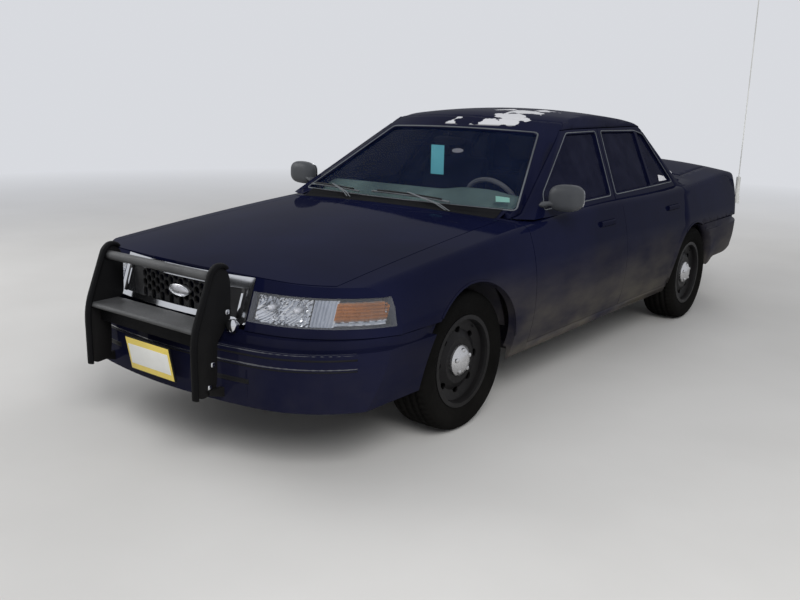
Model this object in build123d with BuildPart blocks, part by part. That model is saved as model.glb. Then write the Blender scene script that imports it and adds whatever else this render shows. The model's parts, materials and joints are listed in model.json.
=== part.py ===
from build123d import *
import os

os.makedirs("parts", exist_ok=True)

# Driving dimensions in millimetres. +X is the car's left, -Y its front and z = 0 the ground.
wheelbase = 2913.0
front_axle_y = -1555.0
front_track = 1610.0
rear_track = 1666.0
axle_height = 345.0

# Fits shared by all pieces.
panel_gap = 5.0
seam = 0.4
pin_play = 0.4

# Lower body.
widest_height = 600.0
sill_height = 262.0
sill_tuck = 62.0
shoulder_radius = 55.0
sill_radius = 30.0
skin = 40.0
plan_half_width = 985.0
nose_half = 560.0
nose_sweep = 60.0
nose_corner_end = -330.0
nose_rake = 0.35
nose_height = 715.0
nose_front = -972.0
tail_half = 560.0
tail_sweep = 40.0
tail_corner = (905.0, 300.0)
tail_side_start = 3400.0
tail_rake = 0.15
tail_height = 850.0
tail_rear = 4262.0

# Distance behind front axle, half width, shoulder half width, shoulder height, centreline height.
body_stations = [
    (-1300, 955, 862, 705, 757),
    (-500, 970, 886, 836, 893),
    (200, 975, 902, 905, 964),
    (900, 975, 906, 957, 1012),
    (2000, 975, 906, 975, 1025),
    (3100, 972, 896, 990, 1058),
    (4450, 950, 865, 938, 998),
]

# Greenhouse outline: half width and distance behind the front axle, at the belt and at the cant rail.
belt_height = 960.0
cant_height = 1400.0
roof_height = 1512.0
roof_radius = 4400.0
roof_peak = 1850.0
pillar_radius = 30.0
greenhouse_wall = 45.0
glass_depth = 14.0
glass_thickness = 5.0
screen_depth = 18.0
screen_thickness = 11.0
# Corner points: place at the belt, place at the cant rail, and the way inwards.
screen_front = ((0, 482), (0, 1165), (0, 1))
screen_corner = ((805, 605), (560, 1300), (-1, 1))
side_front = ((883, 655), (640, 1345), (-1, 0.5))
side_middle = ((875, 1700), (626, 1850), (-1, 0))
side_rear = ((835, 2920), (605, 2610), (-1, -0.5))
rear_corner = ((740, 3130), (540, 2640), (-1, -1))
rear_centre = ((0, 3285), (0, 2665), (0, -1))

# Cabin, boot and floor.
cabin_half_width = 830.0
cabin_front = 640.0
cabin_rear = 2640.0
floor_top = 330.0
floor_bottom = 290.0
sill_inner = 760.0
firewall = 40.0
tunnel_half_width = 150.0
tunnel_top = 430.0
tunnel_wall = 35.0
wheelhouse_inner = 690.0
boot_front = 2700.0
boot_rear = 4095.0
boot_wall = 20.0
lid_face_front = 4110.0
boot_side_floor = 710.0
boot_side_start = 3400.0
heel_wall = (2440.0, 2470.0)
boot_floor_top = 540.0
boot_floor_bottom = 520.0
boot_half_width = 650.0
shelf_top = 1000.0
shelf_bottom = 965.0

# Wheels and arches.
tyre_radius = 345.0
tyre_width = 235.0
front_arch_radius = 395.0
rear_arch_radius = 375.0
liner_radius = 445.0
liner_wall = 10.0
rear_liner_radius = 402.0

# Doors, in side view.
sill_line = 325.0
door_front_edge = 560.0
door_split = 1692.5
door_belt = 985.0
latch_kink = 935.0
door_top = 1398.0
front_latch_slope = 0.34
rear_latch_slope = 0.46
rear_door_arch_radius = 435.0
rear_door_edge = 2690.0
hinge_x = 977.0

# Hood, trunk lid, bumpers and lamps.
hood_side_rear = 735.0
hood_side_front = 770.0
hood_rear_centre = 445.0
hood_rear_corner = 548.0
hood_thickness = 35.0
hood_nose_inset = 48.0
lid_front = 3215.0
lid_half_front = 700.0
lid_half_rear = 665.0
lid_face_half = 552.0
lid_face_bottom = 715.0
lid_deck_bottom = 922.0
bumper_front_y = -1080.0
bumper_front_bottom = 310.0
bumper_front_top = 608.0
bumper_ledge = 562.0
bumper_step = 34.0
bumper_wall = 60.0
bumper_rear_y = 4305.0
bumper_rear_bottom = 355.0
bumper_rear_top = 688.0
front_seam_height = 612.0
rear_seam_height = 692.0
lamp_inner = 446.0
lamp_bottom = 650.0
lamp_top = 772.0
lamp_depth = 75.0
lamp_rear = -590.0
tail_lamp_inner = 558.0
tail_lamp_bottom = 748.0
tail_lamp_top = 914.0
tail_lamp_front = 4010.0
far = 2600.0

# Limits of cutting boxes, clear of the car on every side.
ahead = -1500.0
astern = 4600.0
beyond = 1200.0
overhead = 1600.0


def at(behind):
    """Place along the car of a distance behind the front axle."""
    return front_axle_y + behind


def side_view(points, radius=0.0, grow=0.0, arch=None):
    """Closed outline in side view, with rounded corners, a gap all round and a wheel arch."""
    with BuildSketch(Plane.YZ) as outline:
        with BuildLine():
            Polyline([(at(behind), height) for behind, height in points], close=True)
        make_face()
        if radius:
            fillet(outline.vertices(), radius)
        if grow:
            offset(amount=grow, kind=Kind.INTERSECTION, mode=Mode.REPLACE)
        if arch:
            with Locations((at(arch[0]), axle_height)):
                Circle(arch[1], mode=Mode.SUBTRACT)
    return outline.sketch


def slab(x_span, behind_span, z_span):
    """Box between two limits on each axis."""
    with BuildPart() as block:
        centre = [(low + high) / 2 for low, high in (x_span, behind_span, z_span)]
        with Locations((centre[0], at(centre[1]), centre[2])):
            Box(x_span[1] - x_span[0], behind_span[1] - behind_span[0], z_span[1] - z_span[0])
    return block.part


def lower_form(inset=0.0):
    """Lower body, lofted through its cross-sections."""
    sections = []
    for behind, half_width, shoulder_half, shoulder_z, centre_z in body_stations:
        side = half_width - inset
        shoulder = (shoulder_half - inset, shoulder_z - inset)
        sill = (side - sill_tuck, sill_height + inset)
        with BuildSketch(Plane.XZ.offset(-at(behind))) as section:
            with BuildLine():
                Line((-sill[0], sill[1]), sill)
                TangentArc((side, widest_height), sill, tangent=(0, -1))
                TangentArc((side, widest_height), shoulder, tangent=(0, 1))
                ThreePointArc(shoulder, (0, centre_z - inset), (-shoulder[0], shoulder[1]))
                TangentArc((-side, widest_height), (-shoulder[0], shoulder[1]), tangent=(0, 1))
                TangentArc((-side, widest_height), (-sill[0], sill[1]), tangent=(0, -1))
            make_face()
            fillet(section.vertices().group_by(Axis.Y)[-1], max(shoulder_radius - inset, 8))
            fillet(section.vertices().group_by(Axis.Y)[0], sill_radius)
        sections.append(section.sketch)
    with BuildPart() as form:
        loft(sections)
    return form.part


def plan_outline(height, front, rear, inset=0.0):
    """Outline of the lower body seen from above, at one height."""
    with BuildSketch(Plane.XY.offset(height)) as plan:
        with BuildLine():
            for side in (1, -1):
                nose = ThreePointArc(
                    (0, at(front)),
                    (side * nose_half / 2, at(front + nose_sweep / 4)),
                    (side * nose_half, at(front + nose_sweep)),
                )
                TangentArc(nose @ 1, (side * plan_half_width, at(nose_corner_end)), tangent=nose % 1)
                Line(
                    (side * plan_half_width, at(nose_corner_end)),
                    (side * plan_half_width, at(tail_side_start)),
                )
                tail = ThreePointArc(
                    (0, at(rear)),
                    (side * tail_half / 2, at(rear - tail_sweep / 4)),
                    (side * tail_half, at(rear - tail_sweep)),
                )
                corner = TangentArc(
                    tail @ 1, (side * tail_corner[0], at(rear - tail_corner[1])), tangent=tail % 1
                )
                TangentArc(corner @ 1, (side * plan_half_width, at(tail_side_start)), tangent=corner % 1)
        make_face()
        if inset:
            offset(amount=-inset, mode=Mode.REPLACE)
    return plan.sketch


def plan_form(inset=0.0):
    """Raked nose and tail that trim the lower body."""
    levels = (200.0, 1100.0)
    outlines = [
        plan_outline(
            level,
            nose_front + nose_rake * (level - nose_height),
            tail_rear - tail_rake * (level - tail_height),
            inset,
        )
        for level in levels
    ]
    with BuildPart() as form:
        loft(outlines, ruled=True)
    return form.part


def lower_body(inset=0.0):
    """Lower body with its nose and tail trimmed."""
    with BuildPart() as body:
        add(lower_form(inset))
        add(plan_form(inset), mode=Mode.INTERSECT)
    return body.part


def greenhouse(inset=0.0):
    """Cabin above the belt: a ruled loft from belt to cant rail under a domed roof."""
    trim_height = roof_height + 40.0
    outlines = []
    for height in (belt_height, trim_height):
        rise = (height - belt_height) / (cant_height - belt_height)

        def corner(point, side):
            (low_x, low_y), (high_x, high_y), (in_x, in_y) = point
            place_x = low_x + rise * (high_x - low_x) + inset * in_x
            return side * place_x, at(low_y + rise * (high_y - low_y) + inset * in_y)

        with BuildSketch(Plane.XY.offset(height)) as outline:
            with BuildLine():
                ThreePointArc(corner(screen_corner, -1), corner(screen_front, 1), corner(screen_corner, 1))
                for side in (1, -1):
                    Line(corner(screen_corner, side), corner(side_front, side))
                    ThreePointArc(
                        corner(side_front, side), corner(side_middle, side), corner(side_rear, side)
                    )
                    Line(corner(side_rear, side), corner(rear_corner, side))
                ThreePointArc(corner(rear_corner, 1), corner(rear_centre, 1), corner(rear_corner, -1))
            make_face()
            fillet(outline.vertices(), max(pillar_radius - inset, 8))
        outlines.append(outline.sketch)
    with BuildPart() as form:
        loft(outlines, ruled=True)
        with Locations((0, at(roof_peak), roof_height - roof_radius)):
            Sphere(roof_radius - inset, mode=Mode.INTERSECT)
    return form.part


def door_zone(grow=0.0):
    """Where the left side's doors reach inwards, seen from the front."""
    inner = cabin_half_width - grow
    with BuildPart() as zone:
        with BuildSketch(Plane.XZ.offset(-at(4000))):
            with BuildLine():
                Polyline(
                    (inner, 200),
                    (beyond, 200),
                    (beyond, 1450),
                    (513 - grow, 1450),
                    (780 - grow, belt_height - 2 - grow),
                    (inner, belt_height - 2 - grow),
                    close=True,
                )
            make_face()
        extrude(amount=4000)
    return zone.part


# Height and rough half width of the outer surface.
side_reaches = [
    (sill_line, 948), (widest_height, 975), (800, 952), (950, 912), (door_belt, 866), (door_top, 628),
]


def side_reach(height):
    """Rough half width of the outer surface at a height, for slanted shut faces."""
    for (low, low_x), (high, high_x) in zip(side_reaches, side_reaches[1:]):
        if height <= high:
            return low_x + (high_x - low_x) * (height - low) / (high - low)
    return side_reaches[-1][1]


def slanted_prism(sketch, slope):
    """Side-view outline at the hinge line, run inwards and forwards at a slope."""
    with BuildPart() as prism:
        extrude(
            [face.moved(Location((hinge_x, 0, 0))) for face in sketch.faces()],
            amount=700,
            dir=(-1, -slope, 0),
            both=True,
        )
    return prism.part


def latch_points(points, slope):
    """Moves latch points so that the slanted face meets the outer surface where drawn."""
    return [(behind + slope * (hinge_x - side_reach(height)), height) for behind, height in points]


front_hinge_outline = [
    (door_front_edge, sill_line),
    (door_front_edge, 940),
    (660, door_belt),
    (1345, door_top - 4),
    (1500, door_top),
    (far, door_top),
    (far, sill_line),
]
front_latch_outline = [
    (200, sill_line),
    *latch_points(
        [(door_split - panel_gap / 2, z) for z in (sill_line, widest_height, 800, latch_kink)]
        + [(1702, door_belt), (1860, door_top)],
        front_latch_slope,
    ),
    (200, door_top),
]
rear_hinge_outline = [
    (door_split + panel_gap / 2, sill_line),
    (door_split + panel_gap / 2, latch_kink),
    (1707 + panel_gap / 2, door_belt),
    (1864 + panel_gap / 2, door_top),
    (3400, door_top),
    (3400, sill_line),
]
rear_latch_outline = [
    (1000, sill_line),
    *latch_points(
        [(rear_door_edge, sill_line), (rear_door_edge, widest_height), (rear_door_edge, 800)]
        + [(2740, 930), (2805, door_belt + 15), (2600, 1350), (2545, door_top)],
        rear_latch_slope,
    ),
    (1000, door_top),
]


def door_space(which, grow=0.0):
    """Space that one left door fills, grown by the panel gap for the opening."""
    hinge_outline = front_hinge_outline if which == "front" else rear_hinge_outline
    latch_outline = front_latch_outline if which == "front" else rear_latch_outline
    slope = front_latch_slope if which == "front" else rear_latch_slope
    reach = slope * (hinge_x - side_reach(widest_height))
    arch = (wheelbase + reach, rear_door_arch_radius - grow)
    latch = side_view(latch_outline, grow=grow, arch=arch if which == "rear" else None)
    with BuildPart() as space:
        extrude(side_view(hinge_outline, grow=grow), amount=1300)
        add(slanted_prism(latch, slope), mode=Mode.INTERSECT)
        add(door_zone(grow), mode=Mode.INTERSECT)
    return space.part


def hood_space(grow=0.0):
    """Space that the hood fills, seen from above."""
    with BuildPart() as space:
        with BuildSketch(Plane.XY.offset(600)) as plan:
            add(plan_outline(0, nose_front, tail_rear, hood_nose_inset - grow).moved(Location((0, 0, 0))))
            with BuildLine():
                Line((-hood_side_front, at(-1300)), (hood_side_front, at(-1300)))
                Line((hood_side_front, at(-1300)), (hood_side_front, at(-700)))
                Line((hood_side_front, at(-700)), (hood_side_rear, at(hood_rear_corner)))
                ThreePointArc(
                    (hood_side_rear, at(hood_rear_corner)),
                    (0, at(hood_rear_centre)),
                    (-hood_side_rear, at(hood_rear_corner)),
                )
                Line((-hood_side_rear, at(hood_rear_corner)), (-hood_side_front, at(-700)))
                Line((-hood_side_front, at(-700)), (-hood_side_front, at(-1300)))
            make_face(mode=Mode.INTERSECT)
            if grow:
                offset(amount=grow, mode=Mode.REPLACE)
        extrude(amount=600)
    return space.part


def lid_space(grow=0.0):
    """Space of the trunk lid: its deck and the face between the tail lamps."""
    with BuildPart() as space:
        with BuildSketch(Plane.XY.offset(lid_deck_bottom - grow)):
            with BuildLine():
                Polyline(
                    (-lid_half_front - grow, at(lid_front - grow)),
                    (lid_half_front + grow, at(lid_front - grow)),
                    (lid_half_rear + grow, at(4500)),
                    (-lid_half_rear - grow, at(4500)),
                    close=True,
                )
            make_face()
        extrude(amount=300)
        half = lid_face_half + grow
        add(slab((-half, half), (lid_face_front, 4500), (lid_face_bottom - grow, beyond)))
    return space.part


def across(outline, low=-beyond, high=beyond):
    """Side-view outline run across the car between two widths."""
    with BuildPart() as prism:
        extrude(outline.moved(Location((low, 0, 0))), amount=high - low)
    return prism.part


def wheel_space(behind, radius, inner, outer):
    """Round space across the car, about an axle."""
    with BuildPart() as space:
        with BuildSketch(Plane.YZ.offset(inner)):
            with Locations((at(behind), axle_height)):
                Circle(radius)
        extrude(amount=outer - inner)
    return space.part


def within(shape, *limits):
    """What a shape and every limit share."""
    with BuildPart() as kept:
        add(shape)
        for limit in limits:
            add(limit, mode=Mode.INTERSECT)
    return kept.part


def joined(*shapes):
    """Several shapes as one."""
    with BuildPart() as union:
        for shape in shapes:
            add(shape)
    return union.part


def without(shape, *cuts):
    """A shape less every cut."""
    with BuildPart() as left_over:
        add(shape)
        for cut in cuts:
            add(cut, mode=Mode.SUBTRACT)
    return left_over.part


def mirrored(shape):
    """The same shape on the other side of the car."""
    return mirror(shape, about=Plane.YZ)


def both_sides(shape):
    """A shape with its mirror image."""
    return joined(shape, mirrored(shape))


def finish(shape, label):
    """Labels a piece and writes it."""
    shape.label = label
    export_step(shape, f"parts/{label}.step")


# Window openings in side view.
front_window = [(812, 1006), (1655, 1014), (1806, 1374), (1402, 1372), (858, 1073)]
rear_window_main = [(1750, 1016), (2345, 1020), (2452, 1366), (1905, 1374)]
rear_window_quarter = [(2382, 1022), (2752, 1024), (2580, 1340), (2492, 1362)]
window_radius = 14.0
glass_play = 0.4

outer_lower = lower_body()
outer_cabin = greenhouse()
inner_lower = lower_body(skin)
inner_cabin = greenhouse(greenhouse_wall)
left_half = slab((0, 1300), (ahead, 4500), (0, overhead))
left_lower = within(outer_lower, left_half)
left_skin = without(left_lower, inner_lower)
left_lamp_wall = without(left_lower, lower_body(lamp_depth))
left_door_wall = joined(
    within(left_lower, slab((cabin_half_width, 1300), (500, 3000), (0, overhead))),
    without(within(outer_cabin, left_half), inner_cabin),
)
left_glass_wall = without(
    within(greenhouse(glass_depth), left_half), greenhouse(glass_depth + glass_thickness)
)

windscreen_slope = Plane(
    origin=(0, at(520), 985),
    x_dir=(1, 0, 0),
    z_dir=(0, -(cant_height - 965), 1165 - 505),
)
rear_screen_slope = Plane(
    origin=(0, at(3158), 1050),
    x_dir=(-1, 0, 0),
    z_dir=(0, cant_height - 1028, 2665 - 3218 + 1106),
)


def screen_opening(slope, low, high, grow=0.0):
    """Prism through a screen: (half width, corner rise, middle rise) at its low and high edge."""
    with BuildPart() as opening:
        with BuildSketch(slope) as outline:
            with BuildLine():
                ThreePointArc((-low[0], low[1]), (0, low[2]), (low[0], low[1]))
                Line((low[0], low[1]), (high[0], high[1]))
                ThreePointArc((high[0], high[1]), (0, high[2]), (-high[0], high[1]))
                Line((-high[0], high[1]), (-low[0], low[1]))
            make_face()
            fillet(outline.vertices(), 30)
            if grow:
                offset(amount=grow, mode=Mode.REPLACE)
        extrude(amount=220, both=True)
    return opening.part


windscreen_edges = ((762, 128, 42), (536, 826, 752))
rear_screen_edges = ((665, 150, 45), (500, 650, 625))


# Hollows of the body shell.
full_width = (-beyond, beyond)
cowl_sides = without(
    slab(full_width, (ahead, door_front_edge), (870, beyond)),
    slab((-hood_side_rear - 1, hood_side_rear + 1), (430, door_front_edge + 5), (0, 1300)),
)
engine_bay = within(inner_lower, slab(full_width, (ahead, cabin_front - firewall), (0, 1300)))
cabin_room = within(
    joined(
        slab((-cabin_half_width, cabin_half_width), (cabin_front, heel_wall[0]), (floor_top, 1100)),
        slab((10 - wheelhouse_inner, wheelhouse_inner - 10), (2400, cabin_rear), (boot_floor_top, 1100)),
    ),
    outer_lower,
)
head_room = within(
    inner_cabin,
    joined(
        slab(full_width, (400, 3300), (shelf_top, 1500)),
        slab(full_width, (cabin_front, cabin_rear), (belt_height - 10, 1500)),
    ),
)
boot_span = (-boot_half_width, boot_half_width)
boot_room = within(
    inner_lower,
    joined(
        slab(boot_span, (boot_front, boot_rear), (boot_floor_top, shelf_bottom)),
        slab(boot_span, (lid_front, boot_rear), (boot_floor_top, beyond)),
        slab(full_width, (boot_side_start, 4500), (boot_side_floor, beyond)),
    ),
)
underside = joined(
    slab((-sill_inner, sill_inner), (500, heel_wall[1]), (0, floor_bottom)),
    slab((-860, 860), (2480, 2560), (0, boot_floor_bottom)),
    slab((-wheelhouse_inner, wheelhouse_inner), (heel_wall[1], 3400), (0, boot_floor_bottom)),
    slab(full_width, (2900, astern), (0, boot_floor_bottom)),
    slab(full_width, (2505, 2600), (0, 300)),
    slab(full_width, (boot_rear + boot_wall, astern), (0, rear_seam_height)),
    both_sides(slab((wheelhouse_inner + 10, beyond), (2950, astern), (0, rear_seam_height))),
)
tail_lamp_cut = slab(
    (tail_lamp_inner - seam, beyond),
    (tail_lamp_front - seam, astern),
    (tail_lamp_bottom - seam, tail_lamp_top + seam),
)

# Apron beside the engine, with the liner over the front wheel.
apron_outline = [(-820, 430), (610, 430), (610, 880), (100, 880), (-500, 806), (-820, 745)]
apron_x = (455.0, 475.0)
liner_end = 868.0
liner = within(
    without(
        wheel_space(0, liner_radius, apron_x[1] - 5, liner_end),
        wheel_space(0, liner_radius - liner_wall, apron_x[1], 900),
    ),
    slab((400, 1000), (-600, 600), (430, 900)),
)
left_apron = joined(across(side_view(apron_outline), *apron_x), liner)

# Pillar between the doors.
post_outline = [
    (1650, floor_bottom),
    (1740, floor_bottom),
    (1745, door_belt),
    (1895, 1410),
    (1815, 1410),
    (1655, door_belt),
]
post_section = [(770, 280), (822, 280), (822, 940), (805, 975), (560, 1420), (515, 1420), (760, 975)]
with BuildPart() as post_lean:
    with BuildSketch(Plane.XZ.offset(-at(2200))):
        with BuildLine():
            Polyline(post_section, close=True)
        make_face()
    extrude(amount=900)
left_post = within(across(side_view(post_outline), 0, beyond), post_lean.part)

tunnel_inner = tunnel_half_width - tunnel_wall
liner_outer = plan_half_width - skin - 10
with BuildPart() as body_shell:
    add(outer_lower)
    add(outer_cabin)
    add(slab(full_width, (ahead, door_front_edge), (0, 880)), mode=Mode.SUBTRACT)
    for hollow in (
        cowl_sides,
        hood_space(panel_gap),
        lid_space(panel_gap),
        engine_bay,
        cabin_room,
        head_room,
        boot_room,
        underside,
        both_sides(wheel_space(wheelbase, rear_liner_radius, wheelhouse_inner, liner_outer)),
        both_sides(wheel_space(wheelbase, rear_arch_radius, wheelhouse_inner, beyond)),
        both_sides(door_space("front", panel_gap)),
        both_sides(door_space("rear", panel_gap)),
        screen_opening(windscreen_slope, *windscreen_edges),
        screen_opening(rear_screen_slope, *rear_screen_edges),
        both_sides(tail_lamp_cut),
    ):
        add(hollow, mode=Mode.SUBTRACT)
    add(
        slab(
            (-tunnel_half_width, tunnel_half_width),
            (cabin_front - 10, heel_wall[1] - 5),
            (floor_bottom, tunnel_top),
        )
    )
    add(slab((-tunnel_inner, tunnel_inner), (500, 2480), (0, tunnel_top - tunnel_wall)), mode=Mode.SUBTRACT)
    add(both_sides(left_apron))
    add(slab((-apron_x[1], apron_x[1]), (-840, -820), (430, 745)))
    add(both_sides(left_post))
finish(body_shell.part, "body_shell")


def door(which, windows):
    """One left door with its frame, window openings and pull handle."""
    with BuildPart() as panel:
        add(left_door_wall)
        add(door_space(which), mode=Mode.INTERSECT)
        for window in windows:
            add(across(side_view(window, window_radius), 0, beyond), mode=Mode.SUBTRACT)
    return panel.part


def glass(windows):
    """Panes of one left door."""
    with BuildPart() as panes:
        for window in windows:
            add(across(side_view(window, window_radius, -glass_play), 0, beyond))
        add(left_glass_wall, mode=Mode.INTERSECT)
    return panes.part


handle_places = {"front": 1440.0, "rear": 2490.0}
handle_height = 868.0
handle_x = 934.0
handle_size = (40.0, 190.0, 34.0)
handle_radius = 10.0
door_windows = {"front": [front_window], "rear": [rear_window_main, rear_window_quarter]}
for which, windows in door_windows.items():
    with BuildPart() as handle:
        with Locations((handle_x, at(handle_places[which]), handle_height)):
            Box(*handle_size)
        fillet(handle.edges().filter_by(Axis.Y).group_by(Axis.X)[-1], handle_radius)
    left_door = joined(door(which, windows), handle.part)
    finish(left_door, f"door_{which}_left")
    finish(mirrored(left_door), f"door_{which}_right")
    left_glass = glass(windows)
    finish(left_glass, f"glass_{which}_left")
    finish(mirrored(left_glass), f"glass_{which}_right")

for label, slope, edges in (
    ("windscreen", windscreen_slope, windscreen_edges),
    ("rear_window", rear_screen_slope, rear_screen_edges),
):
    with BuildPart() as screen:
        add(greenhouse(screen_depth))
        add(greenhouse(screen_depth + screen_thickness), mode=Mode.SUBTRACT)
        add(screen_opening(slope, *edges, grow=-glass_play), mode=Mode.INTERSECT)
        keep_side = (ahead, 1900) if label == "windscreen" else (1900, 4500)
        add(slab(full_width, keep_side, (0, overhead)), mode=Mode.INTERSECT)
    finish(screen.part, label)

with BuildPart() as hood:
    add(outer_lower)
    add(lower_body(hood_thickness), mode=Mode.SUBTRACT)
    add(hood_space(), mode=Mode.INTERSECT)
finish(hood.part, "hood")

with BuildPart() as trunk_lid:
    add(left_skin)
    add(lid_space(), mode=Mode.INTERSECT)
    mirror(about=Plane.YZ)
finish(trunk_lid.part, "trunk_lid")

fender_tabs = (((-420, -340), (770, 790)), ((500, 550), (812, 832)))
fender_room = joined(
    slab((hood_side_rear + 4, beyond), (ahead, door_front_edge - panel_gap), (sill_height, beyond)),
    slab((lamp_inner - 4, beyond), (ahead, -600), (sill_height, beyond)),
)
with BuildPart() as fender:
    add(left_skin)
    add(fender_room, mode=Mode.INTERSECT)
    add(hood_space(panel_gap), mode=Mode.SUBTRACT)
    add(slab((0, 905), (ahead, 600), (0, 330)), mode=Mode.SUBTRACT)
    add(wheel_space(0, front_arch_radius, 0, beyond), mode=Mode.SUBTRACT)
    add(slab((0, beyond), (ahead, -200), (0, front_seam_height)), mode=Mode.SUBTRACT)
    add(
        slab((lamp_inner - seam, beyond), (ahead, lamp_rear + seam), (lamp_bottom - seam, lamp_top + seam)),
        mode=Mode.SUBTRACT,
    )
    for behind_span, height_span in fender_tabs:
        add(slab((apron_x[1] + seam, 905), behind_span, height_span))
finish(fender.part, "fender_left")
finish(mirrored(fender.part), "fender_right")

with BuildPart() as headlamp:
    add(left_lamp_wall)
    add(slab((lamp_inner, beyond), (ahead, lamp_rear), (lamp_bottom, lamp_top)), mode=Mode.INTERSECT)
    add(hood_space(panel_gap), mode=Mode.SUBTRACT)
finish(both_sides(headlamp.part), "headlamps")

with BuildPart() as tail_lamp:
    add(left_lamp_wall)
    add(
        slab((tail_lamp_inner, beyond), (tail_lamp_front, astern), (tail_lamp_bottom, tail_lamp_top)),
        mode=Mode.INTERSECT,
    )
finish(both_sides(tail_lamp.part), "tail_lamps")


def bumper_body(front, rear, levels):
    """Bumper form: the plan outline run up through levels of (bottom, top, inset), left hollow."""
    wall = levels[-1][2] + bumper_wall
    with BuildPart() as form:
        for low, high, inset in levels:
            extrude(plan_outline(low, front, rear, inset), amount=high - low)
        add(lower_form(-6), mode=Mode.INTERSECT)
        extrude(plan_outline(200, front, rear, wall), amount=600, mode=Mode.SUBTRACT)
    return form.part


front_levels = [(bumper_front_bottom, bumper_ledge, 0.0), (bumper_ledge, bumper_front_top, bumper_step)]
with BuildPart() as bumper_front:
    add(bumper_body(bumper_front_y, tail_rear, front_levels))
    add(slab(full_width, (-200, 5000), (0, beyond)), mode=Mode.SUBTRACT)
    add(both_sides(wheel_space(0, front_arch_radius, 300, beyond)), mode=Mode.SUBTRACT)
    add(slab((-520, 520), (-1030, -935 - seam), (350, 470)))
finish(bumper_front.part, "bumper_front")

rear_levels = [(bumper_rear_bottom, 640, 0.0), (640, bumper_rear_top, 24.0)]
with BuildPart() as bumper_rear:
    add(bumper_body(nose_front, bumper_rear_y, rear_levels))
    add(slab(full_width, (-2000, 2990), (0, beyond)), mode=Mode.SUBTRACT)
    add(both_sides(wheel_space(wheelbase, rear_arch_radius, 300, beyond)), mode=Mode.SUBTRACT)
    add(slab((-520, 520), (4150 + seam, 4250), (390, 500)))
finish(bumper_rear.part, "bumper_rear")

grille_half = lamp_inner - 6
grille_open = (-384.0, 384.0)
grille_heights = (658.0, 776.0)
with BuildPart() as grille_frame:
    add(outer_lower)
    add(slab((-grille_half, grille_half), (ahead, -840 - seam), (634, 1000)), mode=Mode.INTERSECT)
    add(hood_space(panel_gap), mode=Mode.SUBTRACT)
    add(slab(grille_open, (ahead, -880), grille_heights), mode=Mode.SUBTRACT)
finish(grille_frame.part, "grille_frame")

mesh_pitch = 43.0
mesh_wire = 4.5
mesh_count = (17, 3)
with BuildPart() as mesh_layer:
    extrude(plan_outline(600, nose_front, tail_rear, 26), amount=250)
    extrude(plan_outline(590, nose_front, tail_rear, 38), amount=270, mode=Mode.SUBTRACT)
with BuildPart() as grille_mesh:
    add(
        slab(
            (grille_open[0] + seam, grille_open[1] - seam),
            (ahead, -880 - seam),
            (grille_heights[0] + seam, grille_heights[1] - seam),
        )
    )
    add(mesh_layer.part, mode=Mode.INTERSECT)
    with BuildSketch(Plane.XZ.offset(-at(-800))):
        with Locations((0, (grille_heights[0] + grille_heights[1]) / 2)):
            with HexLocations(mesh_pitch / 2 - 1, *mesh_count, major_radius=False):
                RegularPolygon(mesh_pitch / 2 - mesh_wire, 6, major_radius=False, rotation=30)
    extrude(amount=400, mode=Mode.SUBTRACT)
finish(grille_mesh.part, "grille_mesh")

# Push bumper: two upright plates with padded front edges, a top tube and a shelf.
upright_x = 377.0
upright_thickness = 12.0
pad_width = 34.0
upright_profile = [
    (-1179, 346),
    (-1179, 610),
    (-1070, 868),
    (-1010, 868),
    (-985, 820),
    (-985, 640),
    (-1072, 560),
    (-1072, 346),
]
pad_profile = [
    (-1195, 340),
    (-1195, 614),
    (-1082, 884),
    (-1008, 884),
    (-1008, 866),
    (-1071, 866),
    (-1177, 610),
    (-1177, 340),
]
top_tube_place = (-1062, 842)
top_tube_radius = 21.0
foot_outer = 440.0
with BuildPart() as push_bumper:
    with BuildSketch(Plane.YZ.offset(upright_x - upright_thickness / 2)):
        with BuildLine():
            Polyline([(at(d), z) for d, z in upright_profile], close=True)
        make_face()
    extrude(amount=upright_thickness)
    with BuildSketch(Plane.YZ.offset(upright_x - pad_width / 2)):
        with BuildLine():
            Polyline([(at(d), z) for d, z in pad_profile], close=True)
        make_face()
    extrude(amount=pad_width)
    mirror(about=Plane.YZ)
    with BuildSketch(Plane.YZ.offset(-upright_x)):
        with Locations((at(top_tube_place[0]), top_tube_place[1])):
            Circle(top_tube_radius)
    extrude(amount=2 * upright_x)
    add(slab((-upright_x, upright_x), (-1165, -1020), (612, 634)))
    add(slab((-upright_x, upright_x), (-1120, -1100), (540, 612)))
    bracket = slab((upright_x - upright_thickness / 2, foot_outer), (-1150, -850), (262, 290))
    riser = slab((foot_outer - 40, foot_outer), (-930, -850), (280, 330))
    drop = slab(
        (upright_x - upright_thickness / 2, upright_x + upright_thickness / 2), (-1170, -1075), (262, 400)
    )
    for piece in (bracket, riser, drop):
        add(both_sides(piece))
finish(push_bumper.part, "push_bumper")

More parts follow.
